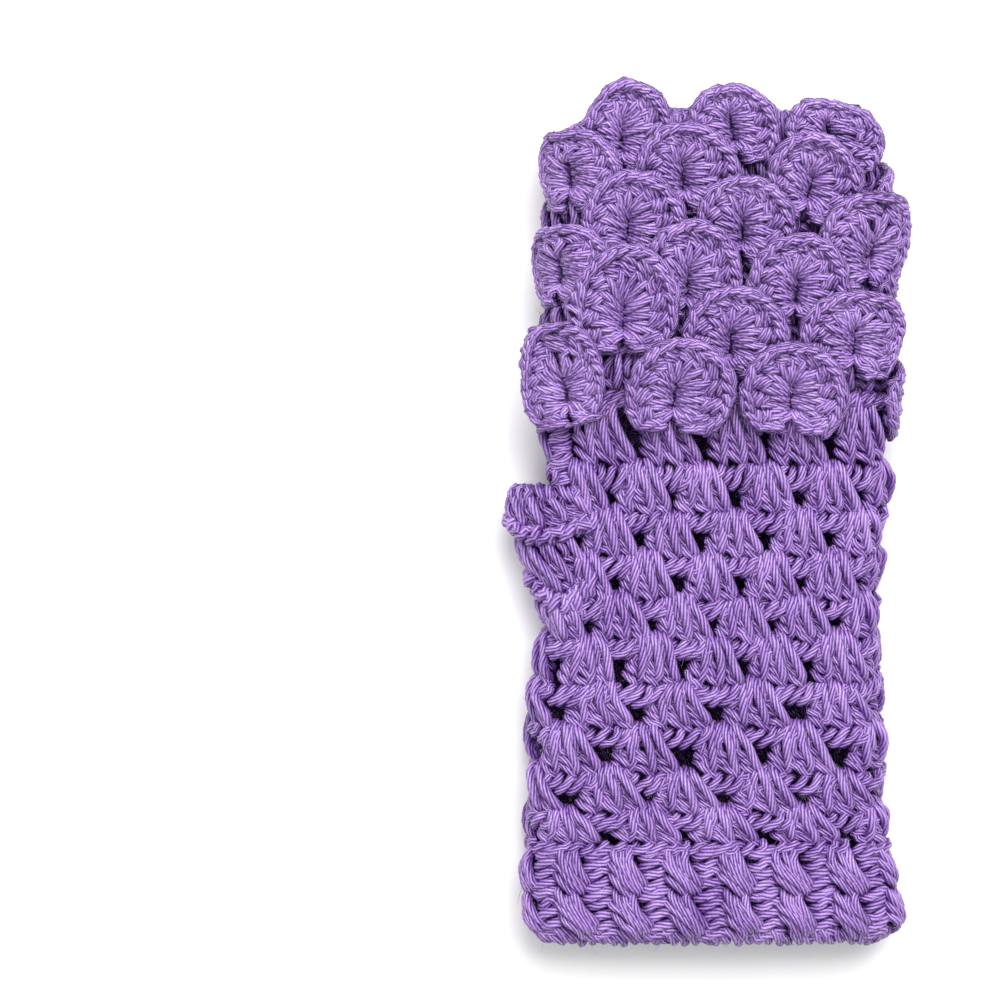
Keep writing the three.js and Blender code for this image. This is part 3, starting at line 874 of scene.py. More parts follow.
@dataclass
class HandFabric:
    """The open fabric of the hand: groups of three tall stitches in rounds, with holes between them."""

    form: TubeForm
    finish: bpy.types.Material
    chain_above_hole: float = 3.3
    base_above_hole: float = 6.9
    first_top_gap: float = 0.4
    last_base: float = 123.8
    group: int = 3
    base_spacing: float = 2.2
    base_squeeze: float = 0.45
    lean: float = 1.1
    wraps: tuple[float, ...] = (0.50, 0.63, 0.76)
    group_dome: tuple[float, float, float] = (-0.55, 0.55, 0.00)
    group_middle: float = 0.5
    group_uneven: float = 0.022
    round_uneven: float = 0.45
    jitter: float = 0.26
    back_depth: float = -1.25
    underside_depth: float = -1.9
    underside_turn: float = 0.3
    thumb_turns: tuple[float, float] = (-0.300, -0.180)
    thumb_span: tuple[float, float] = (73.0, 121.5)
    strip_turn: float = -0.213
    strip_start: float = 103.0
    skew: float = 4.2
    skew_turns: tuple[float, float] = (0.20, 0.10)
    skew_fade: float = 14.0
    bend_inset: tuple[float, float] = (0.95, -0.65)
    shade: float = 0.06
    hairs: float = 0.010

    def hole_rounds(self) -> list[tuple[float, float, int]]:
        """Lists the rounds of holes: place along the glove, turn of one hole, and number of holes.

        Returns:
            The rounds, from the wrist to the fingers.
        """
        starts, lengths = self.form.starts, self.form.lengths
        return [
            (starts[stretch] + along * lengths[stretch], turn, groups)
            for stretch, rounds, groups in (
                (Stretch.WRIST, WRIST_ROUNDS, WRIST_GROUPS),
                (Stretch.PALM, PALM_ROUNDS, PALM_GROUPS),
            )
            for along, turn in rounds
        ]

    def map_flat(self, across: np.ndarray, along: np.ndarray, height: np.ndarray) -> Placed:
        """Wraps the flat pattern round the tube, with its underside slipped a little towards the fingers.

        Args:
            across: distance round the tube from the middle of the back.
            along: place along the glove.
            height: distance out of the tube.

        Returns:
            The points, and the directions out of the tube.
        """
        turn = across / self.form.perimeter(along)
        under = np.clip((np.abs(turn - np.round(turn)) - self.skew_turns[0]) / self.skew_turns[1], 0, 1)
        start, end = self.form.starts[Stretch.WRIST], self.form.starts[Stretch.FINGERS]
        inside = np.clip((along - start) / self.skew_fade, 0, 1)
        inside = inside * np.clip((end - along) / self.skew_fade, 0, 1)
        inset = self.form.inset_at_bends(turn, along, height, self.bend_inset)
        return self.form.place(turn, along + self.skew * under * inside, height - inset)

    def _round_stitches(
        self, span: tuple[float, float], turn: float, groups: int, rng: np.random.Generator
    ) -> StitchSet:
        """Lays out one round of groups, without those that the thumb takes.

        Args:
            span: places along the glove of the bases and of the chain on top.
            turn: turn of one hole beside the groups.
            groups: number of groups in the round.
            rng: source of the small unevenness of hand work.

        Returns:
            The stitches of the round.
        """
        form = self.form
        base_y, top_y = span
        from_hole = rng.normal(self.group_middle, self.group_uneven, groups)
        middles = turn + (np.arange(groups) + from_hole) / groups
        rise = rng.normal(0, self.round_uneven, groups).repeat(self.group)
        offsets = np.arange(self.group) - (self.group - 1) / 2
        base_turn = middles[:, None] + (offsets * self.base_spacing - self.lean) / form.perimeter(base_y)
        top_turn = middles[:, None] + offsets / (self.group * groups) + self.lean / form.perimeter(top_y)
        keep = self._outside_thumb(top_turn.ravel(), (base_y + top_y) / 2)
        base_turn, top_turn = base_turn.ravel()[keep], top_turn.ravel()[keep]
        count = len(base_turn)
        base = np.stack([base_turn * form.perimeter(base_y), base_y + rise[keep]], axis=1)
        top = np.stack([top_turn * form.perimeter(top_y), np.full(count, top_y)], axis=1)
        pitch = form.perimeter(top_y) / (self.group * groups)
        top_side = np.array([[pitch, 0.0]]).repeat(count, 0)
        under = np.abs(base_turn - np.round(base_turn)) > self.underside_turn
        lift = np.where(under, self.underside_depth, self.back_depth) + np.tile(self.group_dome, groups)[keep]
        return StitchSet(base, top, top_side * self.base_squeeze, top_side, lift, jitter=self.jitter)

    def build(self, rng: np.random.Generator) -> None:
        """Works every round and writes it as a piece of its own.

        Args:
            rng: source of the small unevenness of hand work.
        """
        rounds = self.hole_rounds()
        for index, (hole_y, turn, groups) in enumerate(rounds):
            base_y, top_y = hole_y + self.base_above_hole, self.form.sizes.cuff_length + self.first_top_gap
            if index == len(rounds) - 1:
                base_y = self.last_base
            if index > 0:
                top_y = rounds[index - 1][0] + self.chain_above_hole
            stitches = self._round_stitches((base_y, top_y), turn, groups, rng)
            mesh = YarnMesh(shade=self.shade)
            stitches.work(mesh, tall_stitch(self.wraps), self.map_flat, rng)
            mesh.add_hairs(self.hairs, rng)
            stretch = Stretch.WRIST if groups == WRIST_GROUPS else Stretch.PALM
            mesh.write(f"{stretch.value}_round_{index + 1}", self.finish, (f"{stretch.value}_mesh",))

    def _outside_thumb(self, turns: np.ndarray, y: float) -> np.ndarray:
        """Finds which stitches lie clear of the thumb cuff and the thumb opening.

        Args:
            turns: shares of the way round of the stitches.
            y: their place along the glove.

        Returns:
            True for each stitch that is worked.
        """
        if not self.thumb_span[0] < y < self.thumb_span[1]:
            return np.ones(len(turns), dtype=bool)
        wrapped = turns - np.round(turns)
        low = self.strip_turn if y > self.strip_start else self.thumb_turns[0]
        return (wrapped < low) | (wrapped > self.thumb_turns[1])


@dataclass(frozen=True)
class ScaleLie:
    """How one scale lies: shifted, turned and stretched from its even place, in millimetres and degrees.

    up, left and right are its reach from the pinched middle, and lip is how far its free edge curls up.
    """

    across: float = 0.0
    along: float = 0.0
    up: float = 15.8
    left: float = 11.4
    right: float = 12.4
    tilt: float = 0.0
    lip: float = 3.0


# The scales that show follow the photo; those that aren't named here, underneath, take a loose lie
SCALE_LIES = {
    "a_1": ScaleLie(-1.5, -2.2, 14.7, 11.8, 12.0, 4.0, 3.4),
    "a_2": ScaleLie(0.0, -2.0, 13.0, 10.5, 10.5, 0.0, 1.2),
    "a_5": ScaleLie(5.2, -3.8, 18.2, 7.4, 7.6, -14.0, 3.0),
    "a_6": ScaleLie(0.4, -3.4, 15.4, 11.1, 13.2, 2.0, 3.4),
    "b_1": ScaleLie(-1.0, -2.4, 14.9, 10.9, 12.8, 2.0),
    "b_2": ScaleLie(0.0, -0.4, 13.6, 13.1, 8.2, 3.0, 2.6),
    "b_5": ScaleLie(-3.2, -1.5, 12.0, 11.0, 10.5, 6.0, 0.6),
    "b_6": ScaleLie(2.0, 1.3, 18.7, 12.1, 12.0, 0.0, 2.6),
    "c_1": ScaleLie(-0.7, -1.7, 14.8, 11.4, 11.3, 4.0),
    "c_2": ScaleLie(0.0, -1.5, 12.5, 10.5, 10.5, 0.0, 1.0),
    "c_5": ScaleLie(0.6, -0.9, 12.4, 6.6, 9.8, 5.0, 1.6),
    "c_6": ScaleLie(1.5, -2.3, 16.5, 10.9, 11.8, 2.0),
    "d_1": ScaleLie(-0.7, -0.4, 14.1, 10.9, 11.2, 3.0),
    "d_2": ScaleLie(1.0, -4.5, 16.6, 11.8, 7.2, 3.0, 2.6),
    "d_5": ScaleLie(-3.2, -1.5, 12.0, 11.0, 10.5, 6.0, 0.6),
    "d_6": ScaleLie(-0.2, -2.2, 15.2, 10.2, 13.0, 0.0),
    "e_1": ScaleLie(0.5, -1.4, 14.3, 10.0, 10.6, 14.0, 4.5),
    "e_2": ScaleLie(-1.5, -3.0, 12.0, 10.5, 9.0, 0.0, 0.6),
    "e_5": ScaleLie(0.0, -0.9, 12.0, 5.5, 10.4, 3.0, 1.6),
    "e_6": ScaleLie(-1.4, -0.5, 14.2, 10.9, 12.7, 1.0),
    "f_1": ScaleLie(-0.7, -0.4, 11.6, 10.4, 10.6, -4.0),
    "f_2": ScaleLie(-5.0, -1.6, 10.3, 9.2, 10.4, 8.0, 2.0),
    "f_3": ScaleLie(-1.0, -4.0, 10.0, 10.5, 10.5, 4.0, 1.0),
    "f_4": ScaleLie(0.0, -4.0, 10.0, 10.5, 10.5, 0.0, 1.0),
    "f_5": ScaleLie(0.0, -6.5, 10.0, 10.0, 9.5, 6.0, 0.5),
    "f_6": ScaleLie(-0.9, -3.4, 15.2, 8.8, 11.6, 1.0, 3.0),
}


@dataclass(frozen=True)
class ScaleShape:
    """The flat outline of one scale and its cupped surface on the tube."""

    form: TubeForm
    lie: ScaleLie
    turn: float
    middle_y: float
    perimeter: float
    roundness: float = 0.5
    widest_within: float = math.radians(45)
    widest_steps: int = 91
    dome: float = 1.3
    lip_at_lobes: float = 0.45
    lip_start: float = 0.4
    past_edge: float = 1.1
    valley_depth: float = 1.5
    valley_width: float = 2.6
    valley_foot: float = 3.0
    valley_end: float = 1.3
    bed: float = 0.9
    bend_flattening: float = 0.50
    bend_follow: float = math.radians(38)
    seat_margin: float = 3.0
    side_seat: float = 0.25

    def held(self, spot: np.ndarray, y: np.ndarray) -> np.ndarray:
        """How far round the tube the scale is sewn down; past that it runs straight on.

        Args:
            spot: shares of the way round the tube.
            y: places along the glove.

        Returns:
            The shares of the way round where the tube is followed.
        """
        seat = self.turn + self.lie.across / self.perimeter
        nearest = round(seat)
        from_middle = abs(seat - nearest)
        if from_middle > self.side_seat:
            return spot
        radius = self.form.station(Column.THICKNESS, y) / 2
        flat = self.form.station(Column.HALF_WIDTH, y) - radius
        reach = np.maximum(flat + radius * self.bend_follow, from_middle * self.perimeter + self.seat_margin)
        limit = reach / self.perimeter
        return np.clip(spot - nearest, -limit, limit) + nearest

    def reach(self, angle: np.ndarray) -> np.ndarray:
        """How far the free edge lies from the pinched middle, before it is stretched to its lie.

        Args:
            angle: directions from the pinched middle, from the right towards the free edge.

        Returns:
            The distance in each direction.
        """
        notch = self.form.sizes.scale_lobe_drop / 2
        upward = (1 + np.sin(angle)) / 2
        return notch + (self.form.sizes.scale_length - notch) * upward ** self.roundness

    def stretch(
        self, across: np.ndarray, along: np.ndarray, undo: bool = False
    ) -> tuple[np.ndarray, np.ndarray]:
        """Stretches a place on the even outline to the lie, or back.

        Args:
            across: distance to the right of the pinched middle.
            along: distance above it.
            undo: whether to go back to the even outline.

        Returns:
            The new across and along.
        """
        angles = np.linspace(-self.widest_within, self.widest_within, self.widest_steps)
        widest = float((self.reach(angles) * np.cos(angles)).max())
        wide = np.where(across > 0, self.lie.right, self.lie.left) / widest
        tall = np.where(along > 0, self.lie.up / self.form.sizes.scale_length, 1.0)
        return (across / wide, along / tall) if undo else (across * wide, along * tall)

    def outline(self, angle: np.ndarray, share: np.ndarray | float = 1.0) -> np.ndarray:
        """Finds places at a share of the way from the pinched middle to the free edge.

        Args:
            angle: directions from the pinched middle.
            share: how much of the way to the free edge.

        Returns:
            Across and along of each place.
        """
        reach = self.reach(angle) * share
        across, along = self.stretch(reach * np.cos(angle), reach * np.sin(angle))
        return np.stack([across, np.maximum(along, -self.form.sizes.scale_lobe_drop)], axis=-1)

    def _height(self, across: np.ndarray, along: np.ndarray) -> np.ndarray:
        """Height of the cupped surface above the tube: a bed, a dome, a lip and a valley up the middle.

        Args:
            across: distance to the right of the pinched middle.
            along: distance above it.

        Returns:
            The height of each place.
        """
        even_across, even_along = self.stretch(across, along, undo=True)
        angle = np.arctan2(even_along, even_across)
        edge = np.hypot(even_across, even_along) / self.reach(angle)
        bed = self.bed + self.form.slope * (along + self.form.sizes.scale_lobe_drop)
        upper = self.lip_at_lobes + (1 - self.lip_at_lobes) * np.clip(np.sin(angle) + self.lip_start, 0, 1)
        lip = self.lie.lip * upper * np.clip(edge, 0, self.past_edge) ** 3
        cup = self.dome * np.sin(math.pi * np.clip(edge, 0, 1)) + lip
        crease = np.exp(-((across / self.valley_width) ** 2)) * np.clip(1 + along / self.valley_foot, 0, 1)
        return bed + cup - self.valley_depth * crease * np.clip(self.valley_end - edge, 0, 1)

    def place(self, across: np.ndarray, along: np.ndarray, height: np.ndarray) -> Placed:
        """Lays the flat pattern of the scale on its cupped surface.

        Args:
            across: distance to the right of the pinched middle.
            along: distance above it.
            height: distance out of the surface.

        Returns:
            The points, and the directions out of the surface.
        """
        above = self._height(across, along) + height
        tilt = math.radians(self.lie.tilt)
        right = across * math.cos(tilt) + along * math.sin(tilt) + self.lie.across
        y = self.middle_y + self.lie.along + along * math.cos(tilt) - across * math.sin(tilt)
        spot = self.turn + right / self.perimeter
        held = self.held(spot, y)
        _, out = self.form.place(held, y, above)
        above = above * (1 - self.bend_flattening * (1 - np.abs(out[..., 2])))
        squash = 1 - (1 - self.form.sizes.underside_squash) * np.maximum(-out[..., 2], 0)
        base, out = self.form.place(held, y, above * squash)
        onward = np.stack([out[..., 2], np.zeros_like(out[..., 0]), -out[..., 0]], axis=-1)
        return base + onward * ((spot - held) * self.perimeter)[..., None], out


@dataclass
class ScaleField:
    """The rows of rounded scales, each worked outward from a crease up its middle."""

    form: TubeForm
    finish: bpy.types.Material
    stitches: int = 13
    first_angle: float = math.radians(-60)
    edge_steps: int = 721
    crease_top: float = 6.4
    crease_gap: float = 0.45
    crease_rise: tuple[float, float, float] = (0.35, 1.3, 1.2)
    base_spacing: float = 1.7
    v_row: float = 0.90
    yarn_radius: float = 1.05
    ring_step: float = 0.9
    jitter: float = 0.2
    sides: int = 6
    shade: float = -0.05
    hairs: float = 0.008
    loose_lie: tuple[float, float, float, float] = (15.8, 11.8, 12.4, 0.0)
    loose_spread: tuple[float, float, float, float] = (0.6, 0.5, 0.5, 3.0)
    back_steps: tuple[int, int] = (33, 8)
    back_share: float = 0.90
    back_heights: tuple[float, float] = (-0.4, -1.1)
    back_fan: float = 2.1
    back_apart: float = 60.0

    def build(self, rng: np.random.Generator) -> None:
        """Works every scale and writes it as a piece of its own.

        Args:
            rng: source of the small unevenness of hand work.
        """
        for row in SCALE_ROWS:
            for index in range(self.form.sizes.scales_per_row):
                name = f"{row.name}_{index + 1}"
                self._one(name, self._shape(name, row, index, rng), rng)

    def _shape(self, name: str, row: ScaleRow, index: int, rng: np.random.Generator) -> ScaleShape:
        """Finds where one scale lies.

        Args:
            name: row and number of the scale.
            row: the row that it belongs to.
            index: its place in the row.
            rng: source of the small unevenness of hand work.

        Returns:
            The shape of the scale.
        """
        form, sizes = self.form, self.form.sizes
        turn = row.turn + index / sizes.scales_per_row
        centre_y = form.row_along(row)
        seat, _ = form.place(np.array(turn), np.array(centre_y), np.array(0.0))
        perimeter = float(form.perimeter(np.array(centre_y)))
        from_middle = 2 * (seat[0] - form.shift[0]) / sizes.finger_width
        middle_y = centre_y - row.slant * sizes.scale_length * from_middle
        up, left, right, tilt = np.array(self.loose_lie) + np.array(self.loose_spread) * rng.normal(0, 1, 4)
        loose = ScaleLie(up=up, left=left, right=right, tilt=tilt)
        return ScaleShape(form, SCALE_LIES.get(name, loose), turn, float(middle_y), perimeter)

    def _one(self, name: str, shape: ScaleShape, rng: np.random.Generator) -> None:
        """Works one scale.

        Args:
            name: row and number of the scale.
            shape: where it lies.
            rng: source of the small unevenness of hand work.
        """
        mesh = YarnMesh(sides=self.sides, shade=self.shade)
        rim, tangent, angle = self._rim(shape)
        side = np.where(rim[:, 0] < 0, -1.0, 1.0)
        start, span, power = self.crease_rise
        up = np.clip((np.sin(angle) + start) / span, 0, 1)
        base = np.stack([self.crease_gap * side, self.crease_top * up ** power], axis=1)
        top = base + (rim - base) * self.v_row
        forward = (top - base) / np.linalg.norm(top - base, axis=1)[:, None]
        base_side = np.stack([-forward[:, 1], forward[:, 0]], axis=1) * self.base_spacing
        fan = StitchSet(
            base, top, base_side, tangent * self.v_row, np.zeros(len(rim)),
            self.yarn_radius, self.ring_step, self.jitter,
        )
        fan.work(mesh, fan_stitch(), shape.place, rng)
        mesh.add_hairs(self.hairs, rng)
        self._backing(mesh, shape)
        mesh.write(f"stitched_scale_{name}", self.finish, (f"scale_{name}",))

    def _rim(self, shape: ScaleShape) -> tuple[np.ndarray, np.ndarray, np.ndarray]:
        """Finds even places along the free edge, from the right lobe over the top to the left lobe.

        Args:
            shape: the shape of the scale.

        Returns:
            The places, the steps along the edge there, and the angles of the places.
        """
        fine = np.linspace(self.first_angle, math.pi - self.first_angle, self.edge_steps)
        points = shape.outline(fine)
        travel = np.concatenate([[0.0], np.cumsum(np.linalg.norm(np.diff(points, axis=0), axis=1))])
        pitch = travel[-1] / self.stitches
        places = (np.arange(self.stitches) + 0.5) * pitch
        rim, ahead, behind = (
            np.stack([np.interp(places + step, travel, points[:, k]) for k in (0, 1)], axis=1)
            for step in (0.0, 1.0, -1.0)
        )
        tangent = (ahead - behind) / np.linalg.norm(ahead - behind, axis=1)[:, None] * pitch
        return rim, tangent, np.interp(places, travel, fine)

    def _backing(self, mesh: YarnMesh, shape: ScaleShape) -> None:
        """Closes the back of a scale with a thin sheet in painted shade.

        Args:
            mesh: the mesh that takes the sheet.
            shape: the shape of the scale.
        """
        columns, rows = self.back_steps
        angle, share = np.meshgrid(
            np.linspace(self.first_angle, math.pi - self.first_angle, columns),
            np.linspace(0.0, self.back_share, rows),
        )
        flat = shape.outline(angle, share).reshape(-1, 2)
        layers = [
            shape.place(flat[:, 0], flat[:, 1], np.full(len(flat), height))[0] for height in self.back_heights
        ]
        vertices = np.concatenate(layers)
        vertices[:, 2] = pressed(vertices[:, 2])
        j, i = np.meshgrid(np.arange(rows - 1), np.arange(columns - 1), indexing="ij")
        corner = j * columns + i
        quads = np.stack([corner, corner + columns, corner + columns + 1, corner + 1], axis=-1).reshape(-1, 4)
        uv = np.concatenate([flat[quads], flat[quads][:, ::-1] + [self.back_apart, 0.0]])
        fan = np.stack([angle.ravel() * self.back_fan, np.hypot(flat[:, 0], flat[:, 1])], axis=1)
        yarn_uv = np.concatenate([fan[quads], fan[quads][:, ::-1]])
        mesh.add_faces(vertices, np.concatenate([quads, quads[:, ::-1] + len(flat)]), uv, yarn_uv)


@dataclass
class Sheet:
    """A plain inner sheet in painted shade that closes the fabric behind its stitches."""

    form: TubeForm
    place: Mapping
    strand_width: float = 6.0
    rim_width: float = 1.0
    bake_gap: float = 5.0

    def tube(self, start: float, end: float, heights: tuple[float, float], grid: tuple[int, int]) -> YarnMesh:
        """Makes a closed sheet round the tube.

        Args:
            start: where it starts along the glove.
            end: where it ends.
            heights: height of its outer and inner faces.
            grid: number of columns round it and rows along it.

        Returns:
            The mesh, ready for the strands on it.
        """
        columns, rows = grid
        turns, ys = np.meshgrid(np.arange(columns) / columns, np.linspace(start, end, rows + 1))
        layers = [self.place(turns, ys, np.full_like(ys, height))[0] for height in heights]
        vertices = np.concatenate([layer.reshape(-1, 3) for layer in layers])
        vertices[:, 2] = pressed(vertices[:, 2])
        layer_size = (rows + 1) * columns
        perimeter = float(self.form.perimeter(np.array((start + end) / 2)))
        unit = np.array([perimeter / columns, (end - start) / rows])
        j, i = (part.ravel() for part in np.meshgrid(np.arange(rows), np.arange(columns), indexing="ij"))
        right, above = (i + 1) % columns, (j + 1) * columns
        outer = np.stack([j * columns + i, j * columns + right, above + right, above + i], 1)
        corners = ((0, 0), (1, 0), (1, 1), (0, 1))
        places = np.stack([np.stack([i + di, j + dj], 1) for di, dj in corners], 1) * unit
        faces = [outer, outer[:, ::-1] + layer_size]
        uv = [places, places[:, ::-1] + [perimeter + self.bake_gap, 0.0]]
        k = np.arange(columns)
        for row, flip in ((0, False), (rows, True)):
            a, b = row * columns + k, row * columns + (k + 1) % columns
            ring = np.stack([b, a, a + layer_size, b + layer_size], 1)
            place = np.stack([np.stack([k + dk, np.full(columns, row)], 1) for dk in (1, 0, 0, 1)], 1) * unit
            place = place + np.array([[0, 0], [0, 0], [0, self.rim_width], [0, self.rim_width]])
            place = place + [2 * (perimeter + self.bake_gap), 0.0]
            faces.append(ring[:, ::-1] if flip else ring)
            uv.append(place[:, ::-1] if flip else place)
        mesh = YarnMesh()
        flat_uv = np.concatenate(uv)
        mesh.add_faces(vertices, np.concatenate(faces), flat_uv, flat_uv / self.strand_width)
        return mesh


def even_turns(count: int, first: float = 0.0) -> np.ndarray:
    """Shares of the way round the tube, evenly spread from the first."""
    return np.arange(count) / count + first


def post_round(
    form: TubeForm, turns: np.ndarray, base_y: np.ndarray | float, top_y: np.ndarray | float, pitch: float,
    lean: float, lift: float,
) -> StitchSet:
    """Lays out a round of posts on the tube, worked from base_y to top_y.

    Args:
        form: the tube.
        turns: share of the way round of each post's middle.
        base_y: where the posts start along the glove.
        top_y: where the chain on them lies.
        pitch: width of a post at its chain.
        lean: how far each post leans to the right towards its top.
        lift: height of the posts' middle above the tube.

    Returns:
        The posts, in the flat pattern of the tube.
    """
    turns = turns - np.round(turns)
    base_y, top_y = (np.broadcast_to(y, turns.shape) for y in (base_y, top_y))
    base = np.stack([turns * form.perimeter(base_y) - lean, base_y], axis=1)
    top = np.stack([turns * form.perimeter(top_y) + lean, top_y], axis=1)
    downward = np.sign(base_y - top_y)
    top_side = np.stack([downward * pitch, downward * np.gradient(top_y)], axis=1)
    lifts = np.full(len(turns), lift)
    return StitchSet(base, top, top_side * POST_BASE_WIDTH, top_side, lifts, jitter=POST_JITTER)


@dataclass
class WristCuff:
    """The ribbed cuff: two rounds of posts, every second one raised, and an edge of short stitches."""

    form: TubeForm
    finish: bpy.types.Material
    ribs: int = 15
    round_tops: tuple[float, float] = (11.6, 2.4)
    round_bases: tuple[float, float] = (21.6, 12.6)
    raised_lean: float = 0.9
    raised_lift: float = -0.4
    raised_width: float = 1.28
    sunk_lean: float = -0.2
    sunk_lift: float = -1.3
    sunk_width: float = 1.10
    edge_stitches: int = 38
    edge_pitch_at: float = 2.0
    edge_span: tuple[float, float] = (4.0, 0.6)
    edge_lean: float = 1.3
    edge_lift: float = -1.3
    bend_inset: tuple[float, float] = (2.1, -0.7)
    core: tuple[float, float] = (1.4, 21.0)
    core_heights: tuple[float, float] = (-3.2, -4.2)
    core_grid: tuple[int, int] = (96, 12)
    shade: float = 0.08
    hairs: float = 0.010

    def map_flat(self, across: np.ndarray, along: np.ndarray, height: np.ndarray) -> Placed:
        """Wraps the flat pattern round the tube, drawn in a little at its two bends.

        Args:
            across: distance round the tube from the middle of the back.
            along: place along the glove.
            height: distance out of the tube.

        Returns:
            The points, and the directions out of the tube.
        """
        turn = across / self.form.perimeter(along)
        inset = self.form.inset_at_bends(turn, along, height, self.bend_inset)
        return self.form.place(turn, along, height - inset)

    def build(self, rng: np.random.Generator) -> None:
        """Works the rounds and the edge, and writes them as one piece.

        Args:
            rng: source of the small unevenness of hand work.
        """
        form = self.form
        mesh = Sheet(form, form.place).tube(self.core[0], self.core[1], self.core_heights, self.core_grid)
        mesh.shade = self.shade
        half_step = 0.5 / self.ribs
        turns = even_turns(self.ribs, half_step)
        kinds = (
            (turns, self.raised_width, self.raised_lean, self.raised_lift, raised_post()),
            (turns + half_step, self.sunk_width, self.sunk_lean, self.sunk_lift, sunk_post()),
        )
        for base_y, top_y in zip(self.round_bases, self.round_tops):
            pitch = form.pitch(top_y, 2 * self.ribs)
            for kind_turns, width, lean, lift, strands in kinds:
                posts = post_round(form, kind_turns, base_y, top_y, pitch * width, lean, lift)
                posts.work(mesh, strands, self.map_flat, rng)
        pitch = form.pitch(self.edge_pitch_at, self.edge_stitches)
        turns = even_turns(self.edge_stitches)
        edge = post_round(form, turns, *self.edge_span, pitch, self.edge_lean, self.edge_lift)
        edge.work(mesh, edge_loop(), self.map_flat, rng)
        mesh.add_hairs(self.hairs, rng)
        mesh.write("ribbed_cuff", self.finish, ("wrist_cuff",))


